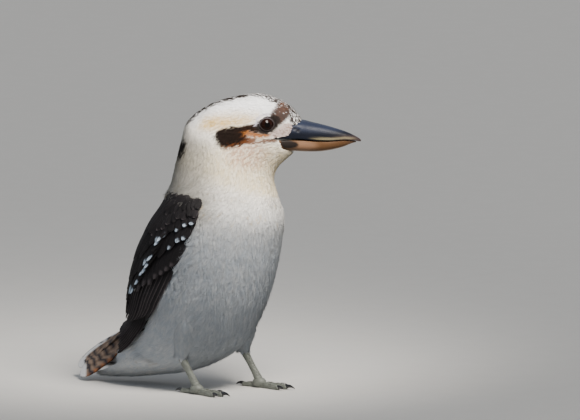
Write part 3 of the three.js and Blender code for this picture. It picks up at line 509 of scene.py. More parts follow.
print("a soft feather:", len(OUTLINE_BODY) - 1, "rings and", SOFT_BARBS, "barbs")

# %% [markdown]
# The marks of the head and body are worked out from the place on the body: a dark stripe from the eye to the
# ear with a rust border, a brown patch before the eye, a streaked crown, a buff wash over the stripe and white
# below. Each feather draws its own chance and reads its colour from a place a little off its own, so a mark's
# edge is ragged the way a real one is.

# %% Marks
WHITE = np.array([0.84, 0.80, 0.73])
# a cooler white for the top of the head: painted sky light from above, over the head's own white
COOL_WHITE_PAINTED_SKY_LIGHT = np.array([0.83, 0.84, 0.86])
CREAM = np.array([0.70, 0.585, 0.355])
# the belly's pale grey made darker and bluer as painted shade
BELLY_GREY_AND_PAINTED_SHADE = np.array([0.40, 0.45, 0.51])
BUFF = np.array([0.60, 0.39, 0.105])
RUST = np.array([0.11, 0.036, 0.012])
ORANGE = np.array([0.30, 0.105, 0.024])
PINKISH = np.array([0.50, 0.33, 0.24])
# a greyer, darker colour for the back of the neck: painted shade
NECK_PAINTED_SHADE = np.array([0.34, 0.325, 0.285])
GREY = np.array([0.33, 0.31, 0.29])
DARK = np.array([0.017, 0.0105, 0.0078])
BLACK = np.array([0.014, 0.011, 0.01])
LORAL_BROWN, LORAL_RUST = np.array([0.036, 0.0115, 0.0040]), np.array([0.115, 0.037, 0.009])
STRIPE_TAN = np.array([0.023, 0.0105, 0.0062])
LORE, LORE_DARK = np.array([0.52, 0.42, 0.39]), np.array([0.24, 0.15, 0.12])
BRIGHT, BROW = np.array([0.62, 0.50, 0.38]), np.array([0.52, 0.49, 0.56])
EYE = {"forward": 41.6, "up": 282.6, "side": 18.7, "radius": 8.6, "ahead": 14}
# the eye's height as head_place gives it
EYE_SEEN_UP = 276.3
MARKS = {
    "stripe": [
        (34, 276.6), (27.5, 275.9), (19.2, 274.4), (10.8, 273.3), (3.6, 272.3), (-4.8, 271.2),
        (-9.5, 268.3), (-12, 263.1), (-9.5, 256.4), (-4.8, 250.8), (0.4, 249.9), (7.7, 251.8), (16, 254.2),
        (23.3, 256.7), (25.4, 261.6), (21.2, 264.2), (24, 268.6), (31, 267.4), (38, 266.4), (43, 265.6),
        (42, 270),
    ],
    "under": [
        (20.3, 263.4), (27.5, 262.1), (35.8, 260.6), (44.1, 260.9), (53.5, 260.2), (54.5, 257.6),
        (44.1, 257.0), (31.6, 255.9), (20.3, 255.2),
    ],
    "loral": [
        (42.5, 285.0), (46.8, 287.2), (50.5, 292.5), (54.6, 297.8), (58.8, 299.9), (63.5, 297.3),
        (66.5, 291.5), (67.0, 285.4), (62.2, 279.6), (57.0, 275.3), (53, 271.5), (48.8, 267.8),
        (43.1, 265.2), (37.9, 265.7), (44.1, 276.6),
    ],
    "lore": [
        (46.5, 265.6), (54.5, 271.9), (59.7, 276.3), (65, 277.9), (70, 276.0), (74, 271.4), (72, 262.8),
        (61.8, 262.2), (52.4, 262.0), (45.7, 262.6),
    ],
    "crown": [
        (27, 305.9), (37.9, 303.4), (48.3, 299.1), (54, 296.4), (60.7, 296.6), (64, 291.3), (66.0, 286),
        (66.0, 279.8), (70, 275.6), (78, 273.5), (88, 280), (84, 300), (62, 322), (27, 322),
    ],
    "buff": [
        (38, 284), (25.4, 276.8), (18.1, 274.6), (8.8, 273.1), (-3.7, 271.0), (-16, 269), (-27, 272),
        (-23, 283.9), (-10, 288.5), (4.6, 290.1), (21.2, 289.5), (35, 288),
    ],
    "nape": [(-70, 238), (-70, 256), (-52, 261), (-40.1, 258), (-42.0, 249.6), (-45.5, 240)],
    "streak": [
        (17, 269.2), (24, 268.8), (31, 267.4), (36.8, 266.4), (42, 265.4), (47, 266.4), (46, 263.4),
        (36.8, 262.4), (29.6, 262.8), (19, 264.4),
    ],
    "bright": [
        (31, 262.9), (37.5, 262.5), (43, 263.2), (48, 266.0), (47, 262.0), (37, 260.4), (31, 260.9),
    ],
    "lores_black": [
        (45.2, 284.4), (49.3, 286.0), (55.6, 284.4), (57.1, 280.3), (54.0, 274.0), (50.9, 270.9),
        (46.2, 267.5), (41.0, 265.4), (35.8, 267.3), (32.2, 271.4), (32.2, 276.1), (41.0, 276.6),
    ],
    "chin_patch": [
        (57.0, 260.2), (64, 259.9), (69.6, 259.0), (74.8, 256.6), (76.4, 254.6), (73.6, 252.2), (67, 251.2),
        (60.6, 251.6), (57.2, 255.5),
    ],
    "bare": [
        (47.2, 261.9), (58, 263.0), (66.2, 264.2), (69.4, 267.5), (69.9, 272.6), (68.4, 275.9),
        (74.0, 274.8), (80.6, 278.8), (110, 290), (110, 240), (70, 247.5), (59.8, 249.4), (57.9, 254.6),
        (57.2, 258.4), (49, 259.9),
    ],
}


def head_place(points):
    """Forward and up on the head as they are seen from its side, the same on the left and the right."""
    side = np.abs(points[..., 1] - NECK_AXIS[1])
    return points[..., 0] - NECK_AXIS[0], 0.99 * points[..., 2] - 0.139 * (side + 6), side


def inside(mark, f, w, soft):
    """1 well inside a mark's outline, 0 well outside, and a soft step between."""
    edge = np.asarray(MARKS[mark], float)
    a, b = edge, np.roll(edge, -1, 0)
    x, y = f[..., None], w[..., None]
    dx, dy = b[:, 0] - a[:, 0], b[:, 1] - a[:, 1]
    u = np.clip(((x - a[:, 0]) * dx + (y - a[:, 1]) * dy) / (dx * dx + dy * dy), 0, 1)
    far = np.hypot(x - a[:, 0] - u * dx, y - a[:, 1] - u * dy).min(-1)
    crossing = dx * (y - a[:, 1]) / np.where(dy == 0, 1e-9, dy) + a[:, 0]
    crosses = ((a[:, 1] > y) != (b[:, 1] > y)) & (x < crossing)
    signed = np.where(crosses.sum(-1) % 2 == 1, far, -far)
    return ease(signed, -soft, soft)


def painted(colour, *layers):
    """A colour with others laid over it in turn. Each layer is a colour and its share from 0 to 1."""
    for other, share in layers:
        colour = mix(colour, other, np.asarray(share)[..., None])
    return colour


def coat_colour(points, at, chance):
    """The colour of the coat at places on the body. Chance holds a number from 0 to 1 for each place."""
    f, w, side = head_place(points)
    z = points[..., 2]
    head = 1 - ease(at, 6.2, 7.2)
    white = np.broadcast_to(WHITE, points.shape)
    wash = 1 - ease(np.hypot(f - 22, (w - 246) * 1.2), 10, 32)
    # the back of the neck below the head is painted darker: painted shade
    nape_painted_shade = ease(-f, 0, 32) * (1 - ease(w, 246, 272)) * (1 - ease(at, 8.2, 9.4))
    buff = head * inside("buff", f, w, 6.0) * (0.62 + 0.38 * chance) * (0.5 + 0.5 * ease(290 - w, 2, 14))
    neck_flecks = (chance > 0.95) * ease(at, 7.0, 7.6) * (1 - ease(at, 8.6, 9.2))
    flank_flecks = (chance > 0.94) * ease(at, 12.6, 13.2) * (1 - ease(at, 14.2, 14.8)) * ease(side, 30, 42)
    centre = (1 - ease(side, 4.5, 10.5)) * ease(-f, -34, -20) * ease(z, 276, 284) * head
    edge_spots = (1 - ease(side, 7, 15)) * ease(-f, -34, -20) * ease(z, 270, 288) * head
    colour = painted(
        white,
        # the top of the head turns a cooler white: painted sky light from above
        (COOL_WHITE_PAINTED_SKY_LIGHT, head * ease(z, 272, 294)),
        (CREAM, head * (1 - ease(w, 240, 264)) * (0.4 + 0.5 * chance)),
        (PINKISH, head * wash * (0.3 + 0.55 * (chance > 0.5))),
        # the breast and belly turn darker and bluer downwards: their own pale grey with painted shade
        (BELLY_GREY_AND_PAINTED_SHADE, ease(at, 6.4, 10.2) * (0.70 + 0.30 * chance)),
        # the lower belly darker still: painted shade
        (BELLY_GREY_AND_PAINTED_SHADE * 0.55, ease(at, 9.8, 13.2) * ease(f, -55, -15) * (0.5 + 0.2 * chance)),
        (NECK_PAINTED_SHADE, nape_painted_shade * (0.62 + 0.3 * chance)),
        (BUFF, buff),
        (BUFF * 0.8, neck_flecks * 0.35),
        (GREY, flank_flecks * 0.55),
        (DARK, centre * (chance > 0.15)),
        (DARK, edge_spots * (chance > 0.6) * 0.9),
        (DARK, inside("crown", f, w, 1.2) * np.where(chance > 0.30, 0.97, 0.2)),
    )
    upper = ease(w, 283, 299)
    brown = painted(
        DARK,
        (LORAL_BROWN, 0.2 + 0.8 * (chance > 0.42 - 0.2 * upper)),
        (LORAL_RUST, upper * (chance > 0.7) * 0.8),
    )
    stripe = inside("stripe", f, w, 1.0)
    dark = painted(DARK * 0.6, (STRIPE_TAN, ease(f, 6, 26) * (0.35 + 0.65 * (chance > 0.45))))
    under_edge = np.interp(f, [-12, 0, 16, 25], [253, 252, 255.5, 259])
    low_edge = stripe * (1 - ease(w - under_edge, 0.5, 4.0)) * ease(f, -8, 4)
    lore = painted(LORE, (LORE_DARK, (chance > 0.72) * 0.7))
    round_eye = np.hypot(f - EYE["forward"], w - EYE_SEEN_UP)
    above_eye = ease(w - EYE_SEEN_UP - 0.7 * (f - EYE["forward"]), 3.5, 6.5)
    brow = (1 - ease(np.abs(round_eye - 9.7), 0.8, 2.0)) * above_eye * (1 - ease(f, 43, 47))
    return painted(
        colour,
        (brown, inside("loral", f, w, 1.8) * np.where(chance > 0.12 * upper, 0.97, 0.5)),
        (dark, stripe),
        (RUST, low_edge * 0.75 * (chance > 0.3)),
        (RUST, inside("under", f, w, 0.9) * np.where(chance > 0.25, 0.9, 0.4)),
        (ORANGE, inside("streak", f, w, 0.5) * 0.95),
        (BRIGHT, inside("bright", f, w, 0.4) * 0.75),
        (lore, inside("lore", f, w, 0.8) * 0.97),
        (BLACK, inside("lores_black", f, w, 1.0) * 0.95),
        (BLACK, (1 - ease(round_eye, 9.4, 10.8)) * ease(-w, -281, -277) * 0.97),
        (BROW, brow * 0.9),
        (BLACK, inside("nape", f, w, 1.2) * (at < 8)),
    )


print("marks:", list(MARKS))

# %% [markdown]
# Under the coat lies one skin. It is the same form drawn in by the depth of the coat, joined to the two
# thighs and remade as one closed surface, so that no edge shows where a leg leaves the body. It keeps the
# marks too, for the places where the coat is thin.

# %% Skin
WING_FRONT = [
    (8.3, 100), (8.6, 91), (9.4, 84.5), (10.1, 88), (10.9, 92), (11.5, 100), (12.2, 110), (12.7, 118),
    (14.6, 126),
]
WING_BACK = [
    (8.3, 116), (8.8, 128), (9.6, 138), (10.6, 148), (11.6, 158), (12.6, 168), (13.6, 175), (15.3, 178),
]


def under_wing(at, degrees):
    """True where a wing or the mantle covers the body well."""
    d = np.abs(degrees)
    front = along(WING_FRONT, at) + mix(6, 0.5, ease(at, 10.4, 12.0))
    body = (at > 8.75) & (at < 12.4) & (d > front)
    tips = (at >= 12.4) & (at < 14.4) & (d > front) & (d < along(WING_BACK, at) - 18)
    return body | tips


LEGS = {
    "right": {
        "hip": (-18, -32, 108), "hock": (-35.5, -24, 38.5), "ball": (-19, -33, 7.2), "aim": -34, "sign": -1,
    },
    "left": {"hip": (27, 16, 108), "hock": (29, 24, 38.8), "ball": (46, 14, 7.2), "aim": -28, "sign": 1},
}
THIGH_ROUND, THIGH_WIDEST, THIGH_BOTTOM = 19.5, 0.38, 6.2


def depth_of_coat(at):
    return along([(0, 0.7), (1, 1.0), (4, 1.6), (6, 2.8), (8, 3.8), (17, 3.8)], at)


def thigh_frame(leg):
    hip, hock = np.array(leg["hip"], float), np.array(leg["hock"], float) + [0, 0, 1]
    down = unit(hock - hip)
    side = unit(np.cross([0, 0, 1], down))
    return hip, hock, down, side, np.cross(down, side)


def thigh_radius(share):
    upper = THIGH_ROUND * np.sqrt(np.clip(1 - 0.93 * (1 - share / THIGH_WIDEST) ** 2, 0, None))
    turn = np.cos(np.clip((share - THIGH_WIDEST) / (1 - THIGH_WIDEST), 0, 1) * math.pi / 2) ** 1.2
    return np.where(share < THIGH_WIDEST, upper, mix(THIGH_BOTTOM, THIGH_ROUND, turn))


def sunk(share):
    """How far the top of the thigh lies under the belly's feathers, so that it shows as a low swell only."""
    return 3.6 * (1 - ease(share, 0.42, 0.85))


def thigh_point(leg, share, degrees, lift=0.0):
    hip, hock, down, side, up = thigh_frame(leg)
    share, degrees = np.broadcast_arrays(np.asarray(share, float), np.asarray(degrees, float))
    a = np.radians(degrees)
    out = side * np.cos(a)[..., None] + up * np.sin(a)[..., None]
    r = thigh_radius(share) + lift
    slope = (thigh_radius(share + 0.01) - thigh_radius(share - 0.01)) / (0.02 * np.linalg.norm(hock - hip))
    return mix(hip, hock, share[..., None]) + out * r[..., None], unit(out - down * slope[..., None])


def round_grid(low, high, rows, columns):
    """Places on a tube: rows of places along it by angles round it, in degrees."""
    return np.meshgrid(np.linspace(low, high, rows), np.arange(columns) * 360 / columns, indexing="ij")


VOXEL = 0.0017
at_grid, degree_grid = round_grid(0.02, LAST - 0.05, 150, 96)
depth_grid = depth_of_coat(at_grid)
bill_base = inside("bare", *head_place(flesh_point(at_grid, degree_grid))[:2], 1.0) * (at_grid < 4)
skin_points = over_flesh(at_grid, degree_grid, -depth_grid - 3.5 * bill_base)[0].reshape(-1, 3)
skin_faces = turned_out(skin_points, ring_faces(*at_grid.shape))
for leg in LEGS.values():
    share, around = round_grid(0, 1, 24, 32)
    tube = thigh_point(leg, share, around, -1.8 - sunk(share))[0].reshape(-1, 3)
    more = turned_out(tube, ring_faces(*share.shape))
    skin_faces += [[i + len(skin_points) for i in f] for f in more]
    skin_points = np.concatenate([skin_points, tube])
raw = bpy.data.meshes.new("raw")
raw.from_pydata(metres(skin_points).tolist(), [], skin_faces)
holder = add_object("raw", raw)
remesh = holder.modifiers.new("one surface", "REMESH")
remesh.mode, remesh.voxel_size = "VOXEL", VOXEL
smooth = holder.modifiers.new("soften", "SMOOTH")
smooth.iterations, smooth.factor = 3, 0.5
skin_points, skin_faces = worked_out(holder)

grid = over_flesh(at_grid, degree_grid, -depth_grid)[0].reshape(-1, 3)
tree = KDTree(len(grid))
for i, p in enumerate(grid):
    tree.insert(p, i)
tree.balance()
nearest = np.array([tree.find(p)[1] for p in skin_points])
skin_at, skin_degrees = at_grid.reshape(-1)[nearest], degree_grid.reshape(-1)[nearest]
turned = np.where(skin_degrees > 180, skin_degrees - 360, skin_degrees)
tint = coat_colour(skin_points, skin_at, np.full(len(skin_points), 0.5)) * 0.9
# the skin is painted black where a wing or the mantle covers it: painted shade under them
tint = painted(tint, (BLACK, under_wing(skin_at, turned)))
maps = {"OFBake": bake_place(skin_at, turned)}
skin = make_piece("skin", skin_points, skin_faces, "Skin under the coat", "white_plumage", tint, maps)
for covered in ("head", "neck", "torso", "rump", "thigh_right", "thigh_left"):
    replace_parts(skin, covered)
print("skin:", len(skin_points), "points")

# %% [markdown]
# Feather roots are spread evenly by the golden ratio: the body's surface is cut into small cells, each cell
# counts for as many roots as its area asks, and the sequence fills them without clumps or rows. The face has
# the closest and smallest feathers, the belly the longest and loosest. Where a wing or the mantle will lie,
# none are set.

# %% Where the feathers stand
def scatter(count, low_at, high_at, weight, seed, rows=240, columns=120):
    """Count places on the body between two stations, spread by area times a weight."""
    at = np.linspace(low_at, high_at, rows)
    degrees = np.arange(-180, 180, 360 / columns) + 180 / columns
    a, d = np.meshgrid(at, degrees, indexing="ij")
    along_ = (flesh_point(a + 0.05, d) - flesh_point(a - 0.05, d)) * 10
    round_ = (flesh_point(a, d + 1) - flesh_point(a, d - 1)) / 2
    area = np.linalg.norm(np.cross(along_, round_), axis=-1) * weight(a, d)
    in_row = area.sum(1)
    edge = np.concatenate([[0], np.cumsum(in_row)]) / in_row.sum()
    draw = np.random.default_rng(seed)
    spots = np.interp((np.arange(count) + 0.5) / count, edge, np.linspace(low_at, high_at, rows + 1))
    row = ((spots - low_at) / (high_at - low_at) * (rows - 1)).round().astype(int).clip(0, rows - 1)
    turn = np.concatenate([np.zeros((rows, 1)), np.cumsum(area, 1)], 1)
    turn /= np.maximum(turn[:, -1:], 1e-9)
    edges = np.linspace(-180, 180, columns + 1)
    around = np.array([np.interp(g, turn[r], edges) for g, r in zip(golden(count), row)])
    spots = spots + draw.normal(0, 0.012, count)
    return np.clip(spots, 0, LAST), (around + draw.normal(0, 0.5, count) + 180) % 360 - 180


LENGTH_ABOVE = [
    (0, 2.6), (1, 3.6), (2, 4.8), (3.5, 6.5), (5, 9), (6.5, 12), (8, 15), (10, 16), (12, 18), (14, 19), (17, 17),
]
LENGTH_BELOW = [(0, 3), (2, 5), (4, 8), (6, 11), (8, 14), (10, 16), (12, 18), (17, 17)]


def length_of(at, degrees):
    under = np.cos(np.radians(degrees)) * 0.5 + 0.5
    return mix(along(LENGTH_ABOVE, at), along(LENGTH_BELOW, at), under)


def eye_axis(side):
    sign, a = LEGS[side]["sign"], math.radians(EYE["ahead"])
    centre = placed(EYE["forward"], sign * EYE["side"], EYE["up"], 0.0)
    return centre, unit(np.array([math.sin(a), sign * math.cos(a), 0.05]))


def cut_short(at, degrees, length, bare, shares, tries, factor):
    """Feather lengths cut, some at each try, while one of the places along a feather is bare."""
    for _ in range(tries):
        hit = np.zeros(len(at), bool)
        for share in shares:
            hit |= bare(flesh_point(at + stations_over(at, degrees, share * length), degrees))
        length = np.where(hit, length * factor, length)
    return length


def near_eye(side, clear):
    """A test of points that is true within a distance of an eye's axis, on the eye's side."""
    centre, axis = eye_axis(side)

    def near(points):
        v = points - centre
        along_axis = v @ axis
        return (np.linalg.norm(v - along_axis[..., None] * axis, axis=-1) < clear) & (along_axis > -2)

    return near


def on_bill_base(points):
    return inside("bare", *head_place(points)[:2], 0.01) > 0.5


def drift(at, degrees, seed):
    """A slow wander over the body, from -1 to 1, that gathers feathers into soft clumps."""
    a, d = np.asarray(at, float) * 2.1, np.radians(degrees)
    waves = np.sin(a * 1.7 + 3 * np.sin(d * 2 + seed)) + np.sin(d * 9 + a * 0.9 + seed * 1.3)
    return (waves + np.sin(a * 3.1 - d * 5 + seed * 2.1)) / 3


def wing_edge(at, degrees):
    """1 where the coat laps over the front edge of a wing, fading to 0 away from it."""
    close = ease(np.abs(degrees) - along(WING_FRONT, at), -15, 2)
    return close * ease(at, 8.3, 9.0) * (1 - ease(at, 12.2, 12.9))


COAT = [
    ("coat_face", 0.05, 2.0, 3400, 0.30),
    ("coat_crown", 2.0, 4.3, 3300, 0.27),
    ("coat_nape", 4.3, 6.6, 3100, 0.26),
    ("coat_neck", 6.6, 8.7, 3000, 0.27),
    ("coat_breast", 8.7, 10.7, 2700, 0.29),
    ("coat_belly", 10.7, 12.9, 2700, 0.30),
    ("coat_vent", 12.9, 16.9, 2700, 0.30),
]
counted = 0
for seed, (name, start, end, count, slim) in enumerate(COAT):
    draw = np.random.default_rng(100 + seed)
    at, degrees = scatter(count, start, end, lambda a, d: np.where(under_wing(a, d), 0.0, 1.0), seed)
    length = length_of(at, degrees) * draw.uniform(0.8, 1.2, count)
    beside_tips = (at > 12.3) & (at < 13.9) & (np.abs(degrees) > along(WING_BACK, at) - 12)
    under_mantle = (at > 8.05) & (at < 9.2) & (np.abs(degrees) > 98)
    keep = ~(beside_tips | under_mantle | on_bill_base(flesh_point(at, degrees)))
    for side in LEGS:
        near = near_eye(side, 8.0)
        keep &= ~near(flesh_point(at, degrees))
        length = cut_short(at, degrees, length, near, (0.5, 1.0, 1.25), 6, 0.7)
    on_face = at < 4
    length = cut_short(at, degrees, length, lambda points: on_face & on_bill_base(points), (0.5, 1.0), 5, 0.65)
    at, degrees, length = at[keep], degrees[keep], length[keep]
    n = len(at)
    depth = depth_of_coat(at)
    loose = draw.uniform(-0.2, 0.3, n) * (0.3 + 0.7 * ease(at, 4, 9))
    loose = loose + 0.35 * drift(at, degrees, 2) * ease(at, 6, 9)
    hackle = 7.0 + 1.2 * np.random.default_rng(9).normal(0, 1, n)

    def lifts(s, ats, around):
        over_mantle = hackle[:, None] * ease(ats, 7.7, 8.9) * ease(np.abs(around), 82, 102) * (ats < 9.6)
        over = np.maximum(over_mantle, 4.6 * wing_edge(ats, around))
        return mix(-0.55 * depth[:, None], 0.25 + loose[:, None], s**0.75) + over * s**0.7

    sweep = draw.normal(0, 2.0, n) + 5 * drift(at, degrees, 5) * ease(at, 6, 9)
    lines, normals = lines_on_body(at, degrees, length, lifts, len(OUTLINE_BODY), sweep)
    half = soft_half(length, slim, len(OUTLINE_BODY), draw)
    thick = np.broadcast_to((0.08 + 0.018 * length)[:, None], half.shape)
    fluff = (0.018, 0.03, 0.045)[int(start > 6) + int(start > 10)]
    feathers = plumes(lines, normals, half, thick, SOFT_BARBS, draw, fluff)
    chance = draw.random(n)
    ragged = along([(0, 0.3), (5, 0.8), (8, 2.0)], at)
    jitter = draw.normal(0, 1, (n, 1, 1, 3)) * ragged[:, None, None, None]
    shade = draw.uniform(0.965, 1.03, n)[:, None, None, None]

    def tint(points):
        own = [np.broadcast_to(v[:, None, None], points.shape[:-1]).ravel() for v in (at, chance)]
        return coat_colour((points + jitter).reshape(-1, 3), *own).reshape(points.shape) * shade

    soft_piece(name, feathers, bake_place(at, degrees), tint)
    counted += n
print("body feathers:", counted)

# %% [markdown]
# The thighs wear loose feathers that hang past the heel joint like short trousers. They run down the leg
# instead of along the body, so they get their own rows.

# %% Thigh feathers
def one_tint(tint):
    """Colours at points for feathers of one colour each."""
    return lambda points: np.broadcast_to(tint[:, None, None], points.shape)


THIGH_FEATHERS = 900
for name, leg in LEGS.items():
    draw = np.random.default_rng(300 + len(name))
    share = np.sqrt((np.arange(THIGH_FEATHERS) + 0.5) / THIGH_FEATHERS) * 0.96
    around = golden(THIGH_FEATHERS) * 360
    length = mix(17, 9, share) * draw.uniform(0.75, 1.2, THIGH_FEATHERS)
    span = np.linalg.norm(np.array(leg["hock"]) - np.array(leg["hip"]))
    s = np.linspace(0, 1, len(OUTLINE_BODY))
    shares = share[:, None] + s * (length / span)[:, None]
    turned = around[:, None] + s * draw.normal(0, 5, THIGH_FEATHERS)[:, None]
    lift = mix(-1.4, 0.4 + draw.uniform(-0.3, 0.8, THIGH_FEATHERS)[:, None], s**0.8) - sunk(shares)
    lines, normals = thigh_point(leg, shares, turned, lift)
    half = soft_half(length, 0.28, len(s), draw)
    feathers = plumes(lines, normals, half, 0.3, SOFT_BARBS, draw, 0.07)
    at = 11.5 + 2.5 * share
    tint = coat_colour(lines[:, 0], at, draw.random(THIGH_FEATHERS))
    tint = tint * draw.uniform(0.965, 1.03, (THIGH_FEATHERS, 1))
    roots = bake_place(np.clip(at, 0, LAST), -leg["sign"] * (30 + (around - 180) * 0.15))
    soft_piece("coat_thigh_" + name, feathers, roots, one_tint(tint))
print("thigh feathers:", THIGH_FEATHERS, "on each side")

# %% [markdown]
# Wing feathers are vanes: a shaft, a web to each side and a rounded end. They lie in tiers, the long flight
# feathers lowest, the coverts in rows above them like tiles. Each tier runs from the wing's front edge to its
# back edge, and its feathers tip a little so that neighbours lap without crossing. The pale tips of two rows
# of coverts, and of one short row along their border, make the spots on the shoulder.

# %% Wings
PALE = np.array([0.50, 0.60, 0.72])
MAUVE = np.array([0.155, 0.130, 0.140])
BROWN = np.array([0.0090, 0.0078, 0.0088])
RUMP_BAR = np.array([0.16, 0.12, 0.095])
VANE = (-1, -0.82, -0.5, -0.2, -0.05, 0.05, 0.2, 0.5, 0.82, 1)
# name, feathers, root places, tip places, widths, lap, lift at root and tip for the first and last, rows,
# marks, and where the middles lie if the feathers bend
WING_TIERS = [
    ("primaries", 12, [(12.0, 114), (12.3, 154)], [(15.4, 114), (15.15, 121), (15.0, 130), (14.85, 141),
     (14.6, 155), (14.35, 169)], (10.5, 13.5), 1, ((1.6, 7.0), (2.6, 13.4)), 20, "flight", [(13.7, 125),
     (13.8, 160)]),
    ("secondaries", 14, [(10.5, 96), (10.6, 154)], [(12.75, 116), (13.0, 130), (13.35, 145), (13.45, 158),
     (13.3, 171)], (10.5, 16.5), 1, ((2.6, 4.6), (3.6, 12.0)), 18, "flight"),
    ("greater_coverts", 10, [(9.6, 91), (9.9, 146)], [(10.95, 100), (11.4, 109), (11.9, 121), (12.25, 137),
     (12.5, 155)], (12.0, 13.0), -1, ((3.2, 6.5), (4.0, 12.4)), 15, "faint"),
    ("median_coverts", 9, [(9.0, 89), (9.5, 134)], [(10.0, 93), (10.4, 102), (10.85, 115), (11.2, 127),
     (11.6, 137), (11.95, 147)], (10.5, 11.5), -1, ((3.8, 7.6), (4.8, 12.2)), 15, "spot"),
    ("lesser_coverts", 9, [(8.65, 91), (9.0, 126)], [(9.4, 89), (9.65, 99), (9.95, 109), (10.3, 119),
     (10.65, 129), (11.05, 137)], (9.5, 10.5), -1, ((4.2, 8.2), (5, 11.6)), 14, "small_spot"),
    ("shoulder_coverts", 9, [(8.45, 94), (8.65, 118)], [(9.0, 89), (9.25, 99), (9.5, 109), (9.85, 119),
     (10.2, 129)], (8, 9), -1, ((4.2, 8.0), (5, 10.6)), 13, "scaly"),
    ("front_coverts", 8, [(8.05, 96), (8.2, 112)], [(8.62, 90), (8.8, 99), (9.05, 109), (9.35, 121)],
     (8, 9), -1, ((2.4, 6.4), (3.0, 8.6)), 12, "scaly"),
    ("long_scapulars", 6, [(10.9, 143), (11.2, 168)], [(12.3, 152), (12.7, 160), (13.0, 171)], (13, 13), -1,
     ((7.0, 13.2), (5.6, 11.6)), 14, "plain"),
    ("rear_scapulars", 6, [(10.1, 136), (10.4, 166)], [(11.75, 146), (12.0, 156), (12.2, 169)],
     (13.5, 13.5), -1, ((7.4, 13.4), (5.6, 11.6)), 14, "plain"),
    ("middle_scapulars", 6, [(9.3, 128), (9.6, 162)], [(11.0, 142), (11.3, 153), (11.5, 167)], (13.5, 13.5),
     -1, ((7.4, 13.4), (5.2, 11.4)), 14, "plain"),
    ("upper_scapulars", 6, [(8.6, 120), (8.8, 158)], [(10.15, 134), (10.4, 147), (10.6, 163)], (13, 13), -1,
     ((4.6, 12.2), (3.4, 10.2)), 13, "plain"),
    ("nape_scapulars", 6, [(8.05, 108), (8.2, 152)], [(9.15, 123), (9.5, 141), (9.7, 159)], (12.5, 12.5),
     -1, ((2.2, 9.0), (1.8, 7.6)), 12, "plain"),
    ("border_coverts", 10, [(9.7, 112), (10.2, 114), (10.8, 118), (11.6, 131)], [(10.3, 117),
     (10.65, 119.5), (11.0, 122), (11.35, 124), (11.7, 128.5), (12.3, 138)], (6.2, 6.2), 1, ((6.4, 12.4),
     (8.0, 13.6)), 11, "border"),
]


def tip_rows(rows):
    """Places along a feather, closer together towards its tip so that the end is round."""
    u = np.linspace(0, 1, rows)
    return 1 - (1 - u) ** 1.7


def outline_of(kind, s):
    """Half width along a feather, as a share: a narrow root, a long even vane and a rounded tip."""
    start, power = {"long": (0.72, 1.9), "short": (0.66, 2.1), "blunt": (0.86, 2.3)}[kind]
    root = 0.42 + 0.58 * ease(s, -0.05, 0.35)
    tip = (1 - np.clip((s - start) / (1 - start), 0, 1) ** power * 0.985) ** (1 / power)
    return root * tip


def marks_of(kind, where, chance, base):
    """Colours over a feather from its place along and across the vane."""
    s, t = where[..., 0], np.abs(where[..., 1])
    share = np.linspace(0, 1, len(s))[:, None, None]
    chance = chance[:, None, None]
    colour = np.broadcast_to(base, s.shape + (3,)) * (0.75 + 0.6 * chance)[..., None]
    edge = ease(t, 0.82, 1.0)
    layers = []
    if kind == "flight":
        outer = ease(where[..., 1], 0.8, 0.98)
        layers = [(MAUVE * 1.3, outer * 0.8 * ease(s, 0.2, 0.5) * (1 - ease(s, 0.9, 0.97)))]
    elif kind == "faint":
        tip = 1 - ease(np.hypot((s - 0.965) / 0.075, t / 0.7), 0.6, 1.1)
        bright = share > 0.8
        shine = np.where(bright[..., None], PALE, MAUVE)
        layers = [(shine, tip * np.where(bright, 0.9, 0.3)), (MAUVE, edge * 0.3)]
    elif kind in ("spot", "small_spot"):
        long, least = (0.085, 0.05) if kind == "spot" else (0.10, 0.15)
        size = 0.75 + 0.4 * chance
        far = np.hypot((s - 0.965) / (long * size), t / (0.66 * np.minimum(size, 1.1)))
        hollow = 1 - ease(np.hypot((s - 0.95) / (0.5 * long), t / 0.34), 0.5, 1.1)
        hollow = hollow * ((chance * 7.3) % 1 < 0.45)
        tip = (1 - ease(far, 0.7, 1.15)) * (1 - 0.75 * hollow)
        tip = tip * (chance > least) * (0.6 + 0.4 * (chance > 0.45)) * (share < 0.72)
        layers = [(PALE, tip), (MAUVE, edge * (1 - tip) * 0.2)]
    elif kind == "border":
        far = np.hypot((s - 0.9) / 0.17, t / 0.8)
        layers = [(PALE * 1.1, (1 - ease(far, 0.7, 1.2)) * (chance > 0.12))]
    elif kind == "scaly":
        rim = np.maximum(ease(s, 0.95, 1.0), edge * ease(s, 0.45, 0.8))
        layers = [(MAUVE * 1.2, rim * 0.6 * (chance > 0.3))]
    elif kind == "plain":
        layers = [(MAUVE * 0.5, edge * ease(s, 0.5, 0.9) * 0.4)]
    elif kind == "rump":
        bars = ease(np.cos(s * 16), 0.3, 0.8)
        layers = [(RUMP_BAR, bars * 0.7), (PALE * 0.7, ease(s, 0.93, 0.99) * 0.5)]
    shaft = (1 - ease(t, 0.03, 0.1)) * (1 - ease(s, 0.7, 0.9))
    return painted(colour, *layers, (BROWN * 0.5, shaft * 0.6))


def vane_half(n, rows, width, kind, draw):
    s = tip_rows(rows)
    half = outline_of(kind, s) * np.asarray(width)[:, None] / 2
    nick = 1 - 0.09 * (draw.random((n, rows)) > 0.86) * ease(s, 0.3, 0.6) * (1 - ease(s, 0.9, 0.97))
    return half * nick


